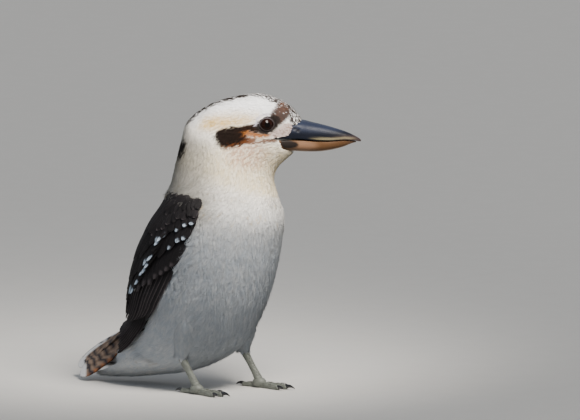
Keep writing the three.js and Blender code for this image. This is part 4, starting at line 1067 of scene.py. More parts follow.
def wing_tier(leg_sign, spec, seed):
    _, count, root, tip, width, lap, lift, rows, kind, *bent = spec
    draw = np.random.default_rng(seed)
    share = np.linspace(0, 1, count)

    def spread(places):
        return through(places, share * (len(places) - 1))

    start, end = spread(root), spread(tip)
    end = end + np.stack([draw.normal(0, 0.05, count), draw.normal(0, 0.5, count)], -1)
    low, high = (mix(lift[0][i], lift[1][i], share)[:, None] for i in range(2))
    s = tip_rows(rows)
    ats = mix(start[:, :1], end[:, :1], s)
    if bent:
        over = spread(bent[0]) - (start + end) / 2
        ats = ats + over[:, :1] * 4 * s * (1 - s)
        turned = mix(start[:, 1:], end[:, 1:], s) + over[:, 1:] * 4 * s * (1 - s)
    else:
        turned = mix(start[:, 1:], end[:, 1:], s**1.1)
    lines, normals = over_flesh(ats, -leg_sign * turned, mix(low, high, s**0.8))
    wide = mix(width[0], width[1], share) * draw.uniform(0.96, 1.05, count)
    apart = np.linalg.norm(np.diff(lines[:, int(rows * 0.7)], axis=0), axis=-1)
    apart = np.minimum(np.append(apart, apart[-1]), np.insert(apart, 0, apart[0]))
    tilt = leg_sign * lap * (0.75 + apart * np.maximum(wide - apart, 0) / 100) * wide / (2 * apart)
    half = vane_half(count, rows, wide, "long" if kind == "flight" else "short", draw)
    tilt = np.clip(tilt, -2.2, 2.2)
    ring, where, *_ = feather_mesh(lines, normals, half, VANE, 0.3, 0.18, tilt, 0.28, s)
    colour = marks_of(kind, where * [1, leg_sign], draw.random(count), BROWN)
    return ring, where, bake_place(start[:, 0], -leg_sign * start[:, 1]), colour


WING_LOOK = "Wing plumage", "dark_plumage"
for side, leg in LEGS.items():
    for number, spec in enumerate(WING_TIERS):
        seed = 500 + number + (40 if side == "left" else 0)
        made = coat_piece(f"{spec[0]}_{side}", *WING_LOOK, *wing_tier(leg["sign"], spec, seed))
        if number == 0:
            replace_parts(made, "wing_" + side)
print("wing tiers on each side:", len(WING_TIERS))

# %% [markdown]
# The mantle fills the back between the wings with rows of broader feathers, each row lying over the next one
# down. Behind it come the feathers of the rump, which reach to the root of the tail.

# %% Mantle and rump
def back_rows(table, seed, base, kind):
    """Rows of feathers across the back, each row set between the feathers of the row before."""
    draw = np.random.default_rng(seed)
    rings, s = [], tip_rows(12)
    for number, (root, long, across, spacing, width, low, high) in enumerate(table):
        step = spacing / (np.linalg.norm(flesh_point(root, 175) - flesh_point(root, 165)) / 10)
        half_row = int(across / step)
        place = (np.arange(-half_row, half_row + 1) + 0.5 * (number % 2)) * step
        count = len(place)
        degrees = 180 + place + draw.normal(0, 0.8, count)
        at = np.full(count, root) + draw.normal(0, 0.03, count)
        length = long * draw.uniform(0.9, 1.1, count)
        lines, normals = lines_on_body(at, degrees, length, lambda s, a, d: mix(low, high, s**0.8) + 0 * d, s)
        half = vane_half(count, len(s), width * draw.uniform(0.92, 1.08, count), "short", draw)
        tilt = np.clip(np.sign(place) * (0.3 + draw.random(count) * 0.3), -0.6, 0.6)
        ring, where, *_ = feather_mesh(lines, normals, half, VANE, 0.3, 0.2, tilt, 0.2, s)
        colour = marks_of(kind, where, draw.random(count), base)
        rings.append((ring, where, bake_place(at, degrees - 360 * (degrees > 180)), colour))
    return tuple(np.concatenate(parts) for parts in zip(*rings))


# root, length, reach to each side in degrees, spacing, width, lift at root and tip
MANTLE_TABLE = [
    (8.25, 17, 64, 7, 11, 1.5, 5.0),
    (8.7, 19, 52, 7.5, 12, 2.4, 5.8),
    (9.15, 20, 46, 7.5, 12.5, 2.8, 6.2),
    (9.6, 21, 40, 8, 13, 2.9, 6.3),
    (10.1, 22, 34, 8, 13, 3.0, 6.2),
    (10.6, 22, 29, 8, 13, 3.0, 6.0),
    (11.1, 22, 25, 8, 13, 2.9, 5.6),
    (11.6, 21, 20, 8, 12, 2.8, 5.2),
]
mantle = coat_piece("mantle_feathers", *WING_LOOK, *back_rows(MANTLE_TABLE[::-1], 700, BROWN * 1.1, "plain"))
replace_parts(mantle, "mantle")
RUMP_TABLE = [
    (12.0, 18, 20, 6, 9, 1.0, 3.4),
    (12.5, 18, 24, 6, 9, 0.6, 3.0),
    (13.0, 18, 28, 6, 9, 0.4, 2.6),
    (13.5, 18, 34, 6, 9, 0.2, 2.2),
]
coat_piece("rump_feathers", *WING_LOOK, *back_rows(RUMP_TABLE[::-1], 720, BROWN * 2.6, "rump"))
print("rows on the mantle and the rump:", len(MANTLE_TABLE), len(RUMP_TABLE))

# %% [markdown]
# The tail is a closed fan of twelve long feathers in a frame of its own, since it rests against the ground
# and is twisted from the body's level. Each feather is brown with slanting blue-black bars and a white end,
# and one edge of the fan is rufous. Long soft plumes from the vent lie under it.

# %% Tail
TAIL_ROOT, TAIL_TIP = np.array([-64.0, 44, 87]), np.array([-144.2, 73.5, 8.4])
TAIL_SIDES = (np.array([0.48, 0.877, 0.05]), np.array([-0.16, 0.9, 0.4]))


def tail_frame(share):
    share = np.asarray(share, float)
    back = unit(TAIL_TIP - TAIL_ROOT)
    sideways = mix(TAIL_SIDES[0], TAIL_SIDES[1], ease(share, 0.1, 0.9)[..., None])
    sideways = unit(sideways - (sideways @ back)[..., None] * back)
    normal = np.cross(back, sideways)
    normal = np.where(normal[..., 2:] < 0, -normal, normal)
    return TAIL_ROOT + (TAIL_TIP - TAIL_ROOT) * share[..., None], sideways, normal


BARS = (0.22, 0.31, 0.40, 0.49, 0.58, 0.675, 0.76, 0.83, 0.897)
TAIL_GROUND = np.array([0.225, 0.160, 0.118]), np.array([0.28, 0.20, 0.148])
TAIL_RUFOUS, TAIL_WHITE = np.array([0.34, 0.125, 0.04]), np.array([0.70, 0.70, 0.71])
TAIL_BAR, TAIL_SHAFT = np.array([0.020, 0.022, 0.031]), np.array([0.05, 0.025, 0.015])


def tail_colours(share, across, chance):
    """Colours from the place on the whole tail: its length from 0 to 1, and millimetres from its middle."""
    ground = np.broadcast_to(mix(*TAIL_GROUND, chance), share.shape + (3,))
    margin = ease(across - np.interp(share, [0, 0.6, 0.88, 0.93], [9, 11.5, 12, 6]), 0, 0.8)
    tip = ease(share - 0.902 - 0.0012 * np.clip(across + 12, 0, 30), 0, 0.008)
    white = np.maximum(margin, tip)
    slant = across * np.interp(share, [0.3, 0.7, 0.95], [0.0028, 0.0026, 0.0016])
    bars = 0
    for k, centre in enumerate(BARS):
        half = (0.020 if centre < 0.8 else 0.016) * mix(1, 0.42, white)
        wavy = 0.004 * np.sin(across * 0.9 + k * 2)
        bars = np.maximum(bars, 1 - ease(np.abs(share - centre - slant - wavy) / half, 0.75, 1.15))
    dashes = (1 - tip) * mix(1.0, (1 - ease(across, 18, 20)) * ease(across, 12.5, 14), margin)
    rufous = ease(-across, 17.4, 19.2) * 0.9
    return painted(ground, (TAIL_RUFOUS, rufous), (TAIL_WHITE, white), (TAIL_BAR, bars * dashes))


def tail_batch():
    draw = np.random.default_rng(41)
    rings = []
    s = tip_rows(26)
    for pair in range(6):
        outward = pair / 5
        for sign in (-1, 1):
            long = 1 - 0.035 * outward**2 - 0.008 * (1 + draw.uniform(-1, 1))
            if sign > 0:
                inner = np.interp(s, (0, 0.5, 0.75, 1), (2, 4.5, 8.5, 9))
                outer = np.interp(s, (0, 0.5, 0.62, 0.75, 0.85, 1), (3, 5.5, 8.0, 11.8, 12.4, 12.4))
                droop = 5 * outward**1.5 * (1 - ease(s, 0.2, 0.5))
            else:
                outer = np.interp(s, (0, 0.3, 0.5, 0.65, 0.8, 0.9, 1), (3, 6, 8.6, 10.2, 11.8, 10.6, 8.0))
                inner, droop = outer - 2.4, 4.5 * (1 - ease(s, 0.55, 0.95))
            off = mix(inner, outer, outward)
            drop = 0.3 + 0.5 * pair + (0.3 if sign > 0 else 0) + droop
            middle, sideways, normal = tail_frame(s * long)
            line = middle + sideways * (sign * off)[:, None] - normal * np.asarray(drop)[:, None]
            lean = (0.46 * (1 - ease(s, 0.55, 0.95)) if sign < 0 else 0 * s)[:, None]
            normal = normal * np.cos(lean) + sideways * sign * np.sin(lean)
            wide = 26.0 if pair == 0 and sign < 0 else 19.5
            half = vane_half(1, len(s), np.array([wide]), "blunt", draw)
            ring, where, *_ = feather_mesh(line[None], normal[None], half, VANE, 0.2, 0.03, 0.0, 0.2, s)
            facing = np.sign(np.sum(np.cross(unit(line[-1] - line[0]), normal[5]) * sideways[5]))
            share = where[..., 0] * long
            across = np.interp(where[..., 0], s, sign * off) + facing * where[..., 1] * half[..., None]
            colour = tail_colours(share, across, draw.random())
            shaft = (1 - ease(np.abs(where[..., 1]), 0.03, 0.09)) * 0.5 * (1 - ease(share, 0.85, 0.9))
            roots = bake_place(np.array([16.0 + 0.02 * pair]), np.array([150.0 + sign * pair * 4]))
            rings.append((ring, where, roots, painted(colour, (TAIL_SHAFT, shaft))))
    return tuple(np.concatenate(parts) for parts in zip(*rings))


tail = coat_piece("tail_feathers", "Tail plumage", "tail_plumage", *tail_batch())
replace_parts(tail, "tail")


UNDERTAIL_PLUMES = 1800


def undertail_plumes():
    """Long soft feathers from the vent back under the tail, in loose layers."""
    draw = np.random.default_rng(77)
    backward = unit((TAIL_TIP - TAIL_ROOT) * [1, 1, 0.06])
    along_tail = unit(TAIL_TIP - TAIL_ROOT)
    count = UNDERTAIL_PLUMES
    v = golden(count) * 2 - 1
    layer = (np.arange(count) + 0.5) / count
    degrees = v * (64 + 66 * layer)
    high_up = ease(np.abs(degrees), 50, 115)[:, None]
    at = 16.3 - 1.9 * layer - 0.3 * v * v + 0.3 * high_up[:, 0]
    place, normal = over_flesh(at, degrees, -0.6)
    heading = unit(mix(backward, along_tail, high_up * 0.92))
    reach = mix(41, 20, ease(np.abs(degrees), 0, 70)) * mix(1.0, 0.62, layer) * draw.uniform(0.85, 1.05, count)
    s = np.linspace(0, 1, 7)
    swell = np.sin(np.pi * s * 0.55) * mix(0.8, 1.6, layer)[:, None]
    line = place[:, None] + heading[:, None] * (s * reach[:, None])[..., None]
    line = line + normal[:, None] * swell[..., None]
    line[..., 2] = np.maximum(line[..., 2], 2.5)
    half = soft_half(np.maximum(reach, 15), 0.24, len(s), draw)
    feathers = plumes(line, np.repeat(normal[:, None], len(s), 1), half, 0.3, 9, draw, 0.03)
    # the plumes under the tail take the belly's grey-blue with its painted shade
    tint = mix(WHITE, BELLY_GREY_AND_PAINTED_SHADE, 0.6 + 0.35 * draw.random((count, 1))) * draw.uniform(0.965, 1.03, (count, 1))
    tint = mix(tint, GREY, (draw.random(count) > 0.955)[:, None] * 0.4)
    return soft_piece("undertail_feathers", feathers, bake_place(at, degrees), one_tint(tint))


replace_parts(undertail_plumes(), "undertail_coverts")
print("tail feathers and plumes under them:", 12, UNDERTAIL_PLUMES)

# %% [markdown]
# The bill is two horn sheaths. The upper one is dark and glossy with a slit of a nostril at its base. A pale
# line above its cutting edge is a painted highlight, and its top is painted bluer as a painted reflection of the
# sky.
# The lower one is pale horn with a black patch under the gape. Both are drawn through rings along the bill,
# with far more rings than the solid model has.

# %% Bill
# over forward, over up, under forward, under up, half width
UPPER_BILL = [
    (66, 281.5, 46, 265.9, 19.6), (72.5, 284, 54, 266.3, 19.0), (80.5, 284.6, 66, 266, 16.7),
    (90, 282.3, 80, 265.2, 13.9), (101.5, 279.6, 95, 263.7, 11.4), (113.5, 276.2, 110, 263.4, 9.2),
    (125.5, 272.2, 124, 264.1, 6.7), (134.5, 268, 133.8, 263.2, 4.2), (139, 265.4, 138.6, 262.3, 2.3),
    (141, 263.6, 140.8, 262, 0.9),
]
LOWER_BILL = [
    (50, 265.8, 60, 253.2, 18.8), (57, 265.9, 64, 252.8, 18.0), (66, 265.7, 72, 252.4, 16.0),
    (80, 264.9, 84, 251.7, 12.9), (95, 263.4, 97, 251.7, 10.3), (110, 263.1, 110, 253.4, 8.2),
    (124, 263.8, 122, 256.4, 5.7), (132.5, 262.8, 131, 260, 3), (136, 262.2, 135.6, 261.2, 1),
]
NOSTRIL = {"forward": 73.5, "up": 276.6, "long": 4.2, "high": 1.15, "deep": 1.5, "slope": -22}


UPPER_EDGE = (
    [52, 66, 80, 95, 110, 124, 134, 141], [266.3, 266, 265.2, 263.7, 263.4, 264.1, 263.2, 262],
)
LOWER_EDGE = (
    [62, 72, 84, 97, 110, 122, 131, 136], [253, 252.4, 251.7, 251.7, 253.4, 256.4, 260, 261.2],
)
# in the upper bill's colours, sheen is a painted reflection of the sky and line is a painted highlight
HORN = {
    "black": [0.0070, 0.0080, 0.0125], "sheen": [0.020, 0.026, 0.048], "line": [0.42, 0.36, 0.20],
    "warm": [0.10, 0.07, 0.06], "brown": [0.095, 0.048, 0.022], "pink": [0.22, 0.125, 0.075],
    "keel": [0.30, 0.19, 0.11], "side": [0.13, 0.075, 0.05], "tip": [0.14, 0.08, 0.055],
}
HORN = {name: np.array(colour) for name, colour in HORN.items()}


def bill_rings(table, upper, rings=90, corners=56):
    r = through(table, np.linspace(0, len(table) - 1, rings))[:, None]
    a = np.arange(corners) / corners * 2 * math.pi
    rise = np.cos(a)[None]
    flat, dome, square = (0.06, 1.15, 0.8) if upper else (0.08, 0.8, 0.75)
    share = np.where(rise > 0, flat + (1 - flat) * np.clip(rise, 0, 1) ** dome, flat * (1 + rise))
    left = r[..., 4] * np.sign(np.sin(a)) * np.abs(np.sin(a)) ** square
    over, under = r[..., :2], r[..., 2:4]
    seen = mix(under, over, share[..., None]) if upper else mix(over, under, share[..., None])
    return placed(seen[..., 0], left, seen[..., 1], 0.0)


def nostril(f, z, side):
    """How deep the slit of the nostril goes at places on the bill, from 0 to 1."""
    slope = math.radians(NOSTRIL["slope"])
    df, dz = f - NOSTRIL["forward"], z - NOSTRIL["up"]
    u = (df * math.cos(slope) + dz * math.sin(slope)) / NOSTRIL["long"]
    v = (-df * math.sin(slope) + dz * math.cos(slope)) / NOSTRIL["high"]
    return np.exp(-(u**4) - v**2) * (np.abs(side) > 2)


def upper_colours(f, above, hole):
    pale = ease(above, 0.9, 1.7) * (1 - ease(above, 2.6, 4.2)) * ease(f, 84, 100) * (1 - ease(f, 128, 138))
    return painted(
        np.tile(HORN["black"], (len(f), 1)),
        # bluer towards the top of the upper bill: painted reflection of the sky
        (HORN["sheen"], ease(above, 6, 12) * 0.6),
        # the pale line above the cutting edge: painted highlight
        (HORN["line"], pale * 0.41),
        (HORN["warm"], ease(f, 100, 130) * (1 - ease(above, 3, 7)) * 0.35),
        (BLACK * 0.5, hole),
    )


def lower_colours(f, above, chin):
    return painted(
        np.tile(HORN["brown"], (len(f), 1)),
        (HORN["pink"], (1 - ease(np.hypot((f - 82) / 16, (above - 7) / 6), 0.4, 1.2)) * 0.8),
        (HORN["keel"], (1 - ease(above, 0.5, 1.8)) * 0.75),
        (HORN["side"], ease(above, 6, 9) * ease(f, 96, 118) * 0.6),
        (HORN["tip"], ease(f, 122, 136) * 0.6),
        (BLACK * 1.2, chin),
    )


def build_bill(upper):
    rings = bill_rings(UPPER_BILL if upper else LOWER_BILL, upper)
    count, corners, _ = rings.shape
    points = rings.reshape(-1, 3)
    f, z, side = points[:, 0] - NECK_AXIS[0], points[:, 2], points[:, 1] - NECK_AXIS[1]
    above = z - np.interp(f, *(UPPER_EDGE if upper else LOWER_EDGE))
    if upper:
        hole = nostril(f, z, side)
        points = points - np.stack([0 * f, np.sign(side) * hole * NOSTRIL["deep"], 0 * f], -1)
        colour = upper_colours(f, above, hole)
        name, look, replaced = "upper_bill", ("Dark horn", "dark_bill"), "bill_upper"
    else:
        chin = inside("chin_patch", f, 0.99 * z - 0.139 * (np.abs(side) + 6), 0.7) * (np.abs(side) > 1)
        colour = lower_colours(f, above, chin)
        name, look, replaced = "lower_bill", ("Pale horn", "horn_bill"), "bill_lower"
    faces = turned_out(points, ring_faces(count, corners))
    uv = np.stack([f / 141, (side + 15) / 30], -1)
    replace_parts(make_piece(name, points, faces, *look, colour, {"Bill": uv}), replaced)
    print(name + ":", len(faces), "faces")


build_bill(True)
build_bill(False)

# %% [markdown]
# The eye is a whole ball seated in the head, with a bulging cornea in front, a dark red-brown iris and a
# round pupil. The lids close round it as a narrow dark ring of bare skin in fine folds, with a pale edge that
# is made stronger above as a painted highlight.

# %% Eyes and lids
IRIS, PUPIL = np.array([0.0075, 0.0024, 0.0014]), np.array([0.002, 0.0015, 0.0015])
EYE_RIM = np.array([0.006, 0.003, 0.002])
# the lid's pale edge, made stronger above as painted highlight
LID, LID_PALE_AND_PAINTED_HIGHLIGHT = np.array([0.020, 0.014, 0.013]), np.array([0.045, 0.040, 0.046])
OPENING = 6.8


def basis(axis):
    side = unit(np.cross([0, 0, 1.0], axis))
    return side, np.cross(axis, side)


def build_eye(side):
    centre, axis = eye_axis(side)
    right, up = basis(axis)
    polar = np.concatenate([np.linspace(0.4, 50, 44), np.linspace(53, 179, 30)])
    around = np.arange(64) * 360 / 64
    p, a = np.radians(polar)[:, None], np.radians(around)[None]
    out = EYE["radius"] * np.sin(p)
    bulge = 0.55 * (1 - ease(polar, 0, 46))[:, None]
    front = (EYE["radius"] - 0.35) * np.cos(p) + bulge
    points = centre + axis * (front + 0 * a)[..., None] + right * (out * np.cos(a))[..., None]
    points = points + up * (out * np.sin(a))[..., None]
    draw = np.random.default_rng(9)
    streak = np.interp((np.arange(64) * 7) % 64, np.arange(64), draw.random(64))[None]
    wide = out + 0 * a
    iris = np.broadcast_to(IRIS * (0.6 + 0.9 * streak)[..., None], points.shape)
    colour = painted(iris, (PUPIL, 1 - ease(wide, 2.7, 3.2)), (EYE_RIM, ease(wide, 5.3, 6.4))).reshape(-1, 3)
    points = points.reshape(-1, 3)
    faces = turned_out(points, ring_faces(len(polar), 64))
    uv = np.stack([polar[:, None] / 180 + 0 * a, a / 6.2832 + 0 * p], -1).reshape(-1, 2)
    piece = make_piece("eyeball_" + side, points, faces, "Eye", "eye", colour, {"Eye": uv})
    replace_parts(piece, "eye_" + side)


def build_lids(side, rings=96, corners=20):
    centre, axis = eye_axis(side)
    right, up = basis(axis)
    if right[0] < 0:
        right = -right
    around = np.radians(np.arange(rings) * 360 / rings)[:, None]
    profile = np.radians(np.arange(corners) * 360 / corners)[None]
    fold = 0.08 * np.sin(around * 23) + 0.05 * np.sin(around * 41 + 1)
    ends = (np.exp(-(((np.cos(around) - way) / 0.06) ** 2)) for way in (1, -1))
    opening = OPENING - 0.75 * np.abs(np.sin(around)) ** 1.5 + 0.4 * (next(ends) + 0.8 * next(ends))
    thick = 0.66 + 0.2 * np.clip(np.sin(around), 0, 1) + fold * 0.5
    seat = math.sqrt(EYE["radius"] ** 2 - OPENING**2)
    out = opening + 0.55 + thick * np.cos(profile)
    high = seat - 0.5 * (out - OPENING) + thick * 0.8 * np.sin(profile)
    high = high + 0.06 * np.sin(around * 31) * np.cos(profile)
    points = centre + axis * high[..., None] + right * (out * np.cos(around))[..., None]
    points = (points + up * (out * np.sin(around))[..., None]).reshape(-1, 3)
    # the pale line along the lid's edge is its own colour; its greater strength above is painted highlight
    above = mix(0.3, 0.95, ease(np.sin(around) - 0.6 * np.cos(around), -0.2, 0.8))
    rim = ease(np.sin(profile + 0.5) + 0 * around, 0.6, 0.92) * above
    colour = painted(np.broadcast_to(LID, (rings, corners, 3)), (LID_PALE_AND_PAINTED_HIGHLIGHT, rim)).reshape(-1, 3)
    faces = [[i % len(points) for i in f] for f in ring_faces(rings + 1, corners, False)]
    uv = np.stack([(around + 0 * profile) / 6.2832, (profile + 0 * around) / 6.2832], -1).reshape(-1, 2)
    faces = turned_out(points, faces)
    make_piece("eyelids_" + side, points, faces, "Lid", "dark_plumage", colour, {"Lid": uv})
    print("eye and lids,", side + ":", len(faces), "faces in the lids")


for side in LEGS:
    build_eye(side)
    build_lids(side)

# %% [markdown]
# The bare part of the leg is a scaled tube. Broad shields overlap down its front and along the top of every
# toe. A Geometry Nodes tree sets one small shield at each point of a list, turned the way the point says,
# which is how more than a hundred alike plates are placed without copying any by hand.

# %% Legs and feet
# number, way from the aim of the foot in degrees, length, thickness, claw
TOES = [(1, 176, 17, 2.9, 9.5), (2, 24, 20, 2.9, 9), (3, 0, 29, 3.2, 11), (4, -17, 25, 3, 9)]
LEG_GREY, LEG_DARK = np.array([0.165, 0.178, 0.155]), np.array([0.115, 0.122, 0.108])
CLAW_BLACK = np.array([0.012, 0.012, 0.014])
UP = np.array([0, 0, 1.0])


def swept(middles, sides, ups, wide, high, corners, squash=None):
    """Points of a tube: an oval ring of corners round each of its middles."""
    a = (np.arange(corners) + 0.5) / corners * 2 * math.pi
    sides, ups = np.broadcast_to(sides, middles.shape), np.broadcast_to(ups, middles.shape)
    out = sides[:, None] * (wide[:, None] * np.cos(a))[..., None]
    out = out + ups[:, None] * (high[:, None] * np.sin(a))[..., None]
    if squash is not None:
        out[..., 2] -= squash[:, None] * (np.sin(a) < 0)
    return (middles[:, None] + out).reshape(-1, 3)


def on_floor(points):
    points[:, 2] = np.maximum(points[:, 2], 0.0)
    return points


def leg_colour(points, seed):
    draw = np.random.default_rng(seed)
    patch = 0.5 + 0.5 * np.sin(points[:, 2] * 0.9 + points[:, 0] * 0.6)
    colour = painted(np.tile(LEG_GREY, (len(points), 1)), (LEG_DARK, patch * 0.5))
    return colour * draw.uniform(0.93, 1.07, (len(points), 1))


PLATES = {"place": [], "along": [], "out": [], "size": []}


def plate(**values):
    for key, value in values.items():
        PLATES[key].append(value)


def shank_radius(s):
    return mix(mix(4.3, 3.45, ease(s, 0, 0.5)), 4.5, ease(s, 0.62, 1)) + 0.10 * np.sin(s * 70)


def build_shank(side, leg):
    hock, ball = np.array(leg["hock"], float), np.array(leg["ball"], float)
    down = unit(ball - hock)
    across = unit(np.cross([0, 0, 1], down))
    rows, corners = 60, 28
    s = np.linspace(-0.06, 1, rows)
    r = shank_radius(s)
    points = swept(mix(hock, ball, s[:, None]), across, np.cross(down, across), r, r * 0.94, corners)
    faces = turned_out(points, ring_faces(rows, corners))
    aim = math.radians(leg["aim"])
    face = np.array([math.cos(aim), math.sin(aim), 0.0])
    beside = np.array([-math.sin(aim), math.cos(aim), 0.0])
    rows = 20
    polar = np.radians(np.linspace(2, 178, rows))
    polar, turn = np.meshgrid(polar, np.arange(corners) * 2 * math.pi / corners, indexing="ij")
    pad = ball * [1, 1, 0] + np.array([0, 0, 5.4]) + 7.6 * face * (np.sin(polar) * np.cos(turn))[..., None]
    pad = pad + 6.4 * beside * (np.sin(polar) * np.sin(turn))[..., None] + UP * 5.5 * np.cos(polar)[..., None]
    pad = on_floor(pad.reshape(-1, 3))
    faces += [[i + len(points) for i in f] for f in turned_out(pad, ring_faces(rows, corners))]
    points = np.concatenate([points, pad])
    colour = leg_colour(points, 3)
    piece = make_piece("shank_scales_" + side, points, faces, "Scaled leg", "leg_skin", colour)
    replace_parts(piece, "shank_" + side)
    for i in range(13):
        share = 0.03 + i * 0.073
        radius = np.interp(share, [0, 0.5, 0.62, 1], [4.3, 3.45, 3.5, 4.5])
        middle = mix(hock, ball, share)
        for turn in (-38, 0, 38) if i % 2 else (-19, 19):
            a = math.radians(turn)
            n = unit(face * math.cos(a) + np.cross([0, 0, 1], face) * math.sin(a))
            n = unit(n - down * (n @ down))
            plate(place=middle + n * (radius * 0.93), along=down, out=n, size=(2.6, 3.1, 0.55))


def build_toe(side, leg, toe):
    number, aim, long, thick, claw = toe
    long = long + 1.5
    a = math.radians(leg["aim"] + aim)
    forward = np.array([math.cos(a), math.sin(a), 0.0])
    start = leg["ball"] * np.array([1, 1, 0]) + forward * 2.0
    across = np.cross(UP, forward)
    rows, corners = 46, 22
    s = np.linspace(0, 1, rows)
    joints = 0.22 * np.cos(s * 2 * np.pi * (2 if number < 3 else 3))
    r = thick * mix(1, 0.78, s) + joints
    r = r * np.sqrt(np.clip(1 - ease(s, 0.93, 1.02) * 0.5, 0, 1))
    arch = np.sin(np.pi * s) * 0.8 * ease(long, 18, 30)
    middles = start + forward * (s * long)[:, None] + UP * (r - 0.2 + arch)[:, None]
    points = on_floor(swept(middles, across, UP, r * 0.95, r, corners, arch))
    faces = turned_out(points, ring_faces(rows, corners))
    colour = leg_colour(points, number)
    piece = make_piece(f"toe_scales_{number}_{side}", points, faces, "Scaled leg", "leg_skin", colour)
    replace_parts(piece, f"toe_{number}_{side}")
    count = int(long / 2.6)
    for i in range(count):
        k = int((i + 0.6) / count * 0.94 * (rows - 1))
        place = middles[k] + np.array([0, 0, r[k] * 0.9])
        plate(place=place, along=forward, out=UP, size=(r[k] * 1.35, 3.3, 0.6))

    bend = math.radians(62)
    arc = claw / bend
    tip_thick = thick * 0.78
    begin = -bend * 0.34
    rows, corners = 26, 18
    u = np.linspace(0, 1, rows)
    turn = bend * u - bend * 0.34
    foot = start + forward * (long - 0.8) + UP * (tip_thick - 0.45 + 1.0)
    middle = foot + forward * (arc * (np.sin(turn) - math.sin(begin)))[:, None]
    middle[:, 2] -= arc * (math.cos(begin) - np.cos(turn))
    outward = UP * np.cos(turn)[:, None] + forward * np.sin(turn)[:, None]
    radius = tip_thick * 0.92 * (1 - u) ** 0.75 + 0.16
    points = on_floor(swept(middle, across, outward, radius * 0.66, radius, corners))
    faces = turned_out(points, ring_faces(rows, corners))
    tint = np.tile(CLAW_BLACK, (len(points), 1))
    piece = make_piece(f"claw_horn_{number}_{side}", points, faces, "Claw", "claw", tint)
    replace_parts(piece, f"claw_{number}_{side}")


for side, leg in LEGS.items():
    build_shank(side, leg)
    for toe in TOES:
        build_toe(side, leg, toe)


def plate_tree():
    """Sets a shield at every point, turned by the point's own vectors and sized by its own size."""
    tree = bpy.data.node_groups.new("Set shields", "GeometryNodeTree")
    tree.interface.new_socket("Geometry", in_out="INPUT", socket_type="NodeSocketGeometry")
    shape = tree.interface.new_socket("Shield", in_out="INPUT", socket_type="NodeSocketObject")
    finish = tree.interface.new_socket("Finish", in_out="INPUT", socket_type="NodeSocketMaterial")
    tree.interface.new_socket("Geometry", in_out="OUTPUT", socket_type="NodeSocketGeometry")
    given, result = tree.nodes.new("NodeGroupInput"), tree.nodes.new("NodeGroupOutput")
    info = node(tree, "GeometryNodeObjectInfo", {"Object": given.outputs["Shield"]}, transform_space="ORIGINAL")
    vectors = {}
    for key in ("along", "out", "size"):
        named = node(tree, "GeometryNodeInputNamedAttribute", {"Name": key}, data_type="FLOAT_VECTOR")
        vectors[key] = named.outputs["Attribute"]
    axes = {"Primary Axis": vectors["out"], "Secondary Axis": vectors["along"]}
    turned = node(tree, "FunctionNodeAxesToRotation", axes, primary_axis="Z", secondary_axis="Y")
    inputs = {"Points": given.outputs["Geometry"], "Instance": info.outputs["Geometry"]}
    inputs |= {"Rotation": turned.outputs[0], "Scale": vectors["size"]}
    set_down = node(tree, "GeometryNodeInstanceOnPoints", inputs)
    real = node(tree, "GeometryNodeRealizeInstances", {"Geometry": set_down.outputs[0]})
    inputs = {"Geometry": real.outputs[0], "Material": given.outputs["Finish"]}
    dressed = node(tree, "GeometryNodeSetMaterial", inputs)
    tree.links.new(dressed.outputs[0], result.inputs["Geometry"])
    return tree, shape.identifier, finish.identifier


def shield_object():
    """A small shield 1 across, 1 long and 1 high, with its free edge lifted."""
    a = np.arange(8) / 8 * 2 * math.pi
    x, y = (0.5 * np.sign(v) * np.abs(v) ** 0.7 for v in (np.cos(a), np.sin(a)))
    rings = []
    for scale, high in ((1.0, -0.5), (1.0, 0.1), (0.78, 0.42), (0.4, 0.55)):
        lifted = 0.45 * (0.5 * scale * np.sin(a) + 0.5) * (high > 0)
        rings.append(np.stack([x * scale, y * scale, high + lifted], -1))
    points = np.concatenate(rings)
    mesh = bpy.data.meshes.new("shield")
    mesh.from_pydata(points.tolist(), [], turned_out(points, ring_faces(4, 8)))
    mesh.polygons.foreach_set("use_smooth", np.ones(len(mesh.polygons), bool))
    return bpy.data.objects.new("shield", mesh)


tree, shape_input, finish_input = plate_tree()
carrier = bpy.data.meshes.new("shield places")
carrier.from_pydata(metres(PLATES["place"]).tolist(), [], [])
for key, scale in (("along", 1), ("out", 1), ("size", 0.001)):
    layer = carrier.attributes.new(key, "FLOAT_VECTOR", "POINT")
    layer.data.foreach_set("vector", (np.array(PLATES[key], np.float32) * scale).ravel())
holder = add_object("shield places", carrier)
shield = shield_object()
modifier = holder.modifiers.new("set shields", "NODES")
modifier.node_group = tree
modifier[shape_input] = shield
modifier[finish_input] = MATERIALS["Scaled leg"]
points, plate_faces = worked_out(holder)
bpy.data.objects.remove(shield)
colour = leg_colour(on_floor(points), 8) * 1.12
make_piece("leg_shields", points, plate_faces, "Scaled leg", "leg_skin", colour)
print("shields:", len(PLATES["place"]))

# %% [markdown]
# A pale floor, a broad warm sun from high in front on the right, weaker ones from the left and from behind,
# and one small soft lamp near the head. The camera looks down by eight degrees, as the photo's does, from far
# enough away to flatten the view.

# %% Stage, light and camera
def build_floor():
    mesh = bpy.data.meshes.new("floor")
    mesh.from_pydata([(-30, -30, 0), (30, -30, 0), (30, 30, 0), (-30, 30, 0)], [], [(0, 1, 2, 3)])
    floor = add_object("floor", mesh)
    tree, shader = new_material("Pale floor")
    place = node(tree, "ShaderNodeTexCoord").outputs["Object"]
    grain = node(tree, "ShaderNodeTexNoise", {"Vector": place, "Scale": 35.0, "Detail": 5.0})
    tint = node(tree, "ShaderNodeMix", {"Factor": grain.outputs["Fac"]}, data_type="RGBA")
    tint.inputs["A"].default_value = (0.62, 0.61, 0.59, 1)
    tint.inputs["B"].default_value = (0.66, 0.65, 0.63, 1)
    tree.links.new(tint.outputs["Result"], shader.inputs["Base Color"])
    shader.inputs["Roughness"].default_value = 0.9
    mesh.materials.append(MATERIALS["Pale floor"])


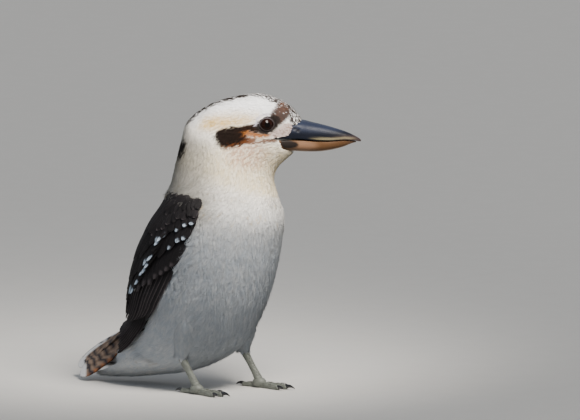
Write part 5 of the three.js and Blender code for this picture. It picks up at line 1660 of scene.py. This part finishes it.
def light(name, kind, power, colour, **settings):
    data = bpy.data.lights.new(name, kind)
    for key, value in (settings | {"energy": power, "color": colour}).items():
        setattr(data, key, value)
    return add_object(name, data)


def sun(name, azimuth, elevation, spread, power, colour):
    made = light(name, "SUN", power, colour, angle=math.radians(spread))
    made.rotation_euler = (math.radians(90 - elevation), 0, math.radians(azimuth))


build_floor()
sun("key", 40, 58, 24, 1.22, (1.0, 0.94, 0.85))
sun("sky", -74, 34, 50, 0.3, (0.78, 0.88, 1.0))
sun("back", 172, 40, 40, 0.25, (1.0, 0.97, 0.92))
disk = {"shape": "DISK", "size": 0.28, "spread": math.radians(62)}
lamp = light("near the head", "AREA", 1.25, (1.0, 0.94, 0.86), **disk)
place, target = Vector((0.15, -0.28, 0.60)), Vector((0.02, -0.02, 0.295))
lamp.location = place
lamp.rotation_euler = (target - place).to_track_quat("-Z", "Y").to_euler()
world = bpy.data.worlds.new("soft daylight")
world.use_nodes = True
sky = {"Color": (0.80, 0.87, 0.97, 1), "Strength": 0.30}
fill(world.node_tree, world.node_tree.nodes["Background"], sky)
bpy.context.scene.world = world

# millimetres, except for the tilt in degrees and the picture's size in pixels
DISTANCE, PIXEL, TILT, SENSOR, WIDE, HIGH = 12000.0, 1.04, 8.0, 36.0, 580, 420
# the pixel of the photo that shows the origin
ORIGIN_PIXEL = (215, 390)
camera_data = bpy.data.cameras.new("camera")
camera_data.sensor_width = SENSOR
camera_data.lens = SENSOR * DISTANCE / (WIDE * PIXEL)
camera = add_object("camera", camera_data)
tilt = math.radians(TILT)
seen_up = (ORIGIN_PIXEL[1] - HIGH / 2) * PIXEL
middle = np.array([(WIDE / 2 - ORIGIN_PIXEL[0]) * PIXEL, -20.0, 0.0])
middle[2] = (seen_up - middle[1] * math.sin(tilt)) / math.cos(tilt)
camera.location = metres(middle + DISTANCE * np.array([0, -math.cos(tilt), math.sin(tilt)]))
camera.rotation_euler = (math.radians(90 - TILT), 0, 0)
camera_data.clip_start, camera_data.clip_end = 0.1, 60
bpy.context.scene.camera = camera
print("camera lens:", round(camera_data.lens), "mm")
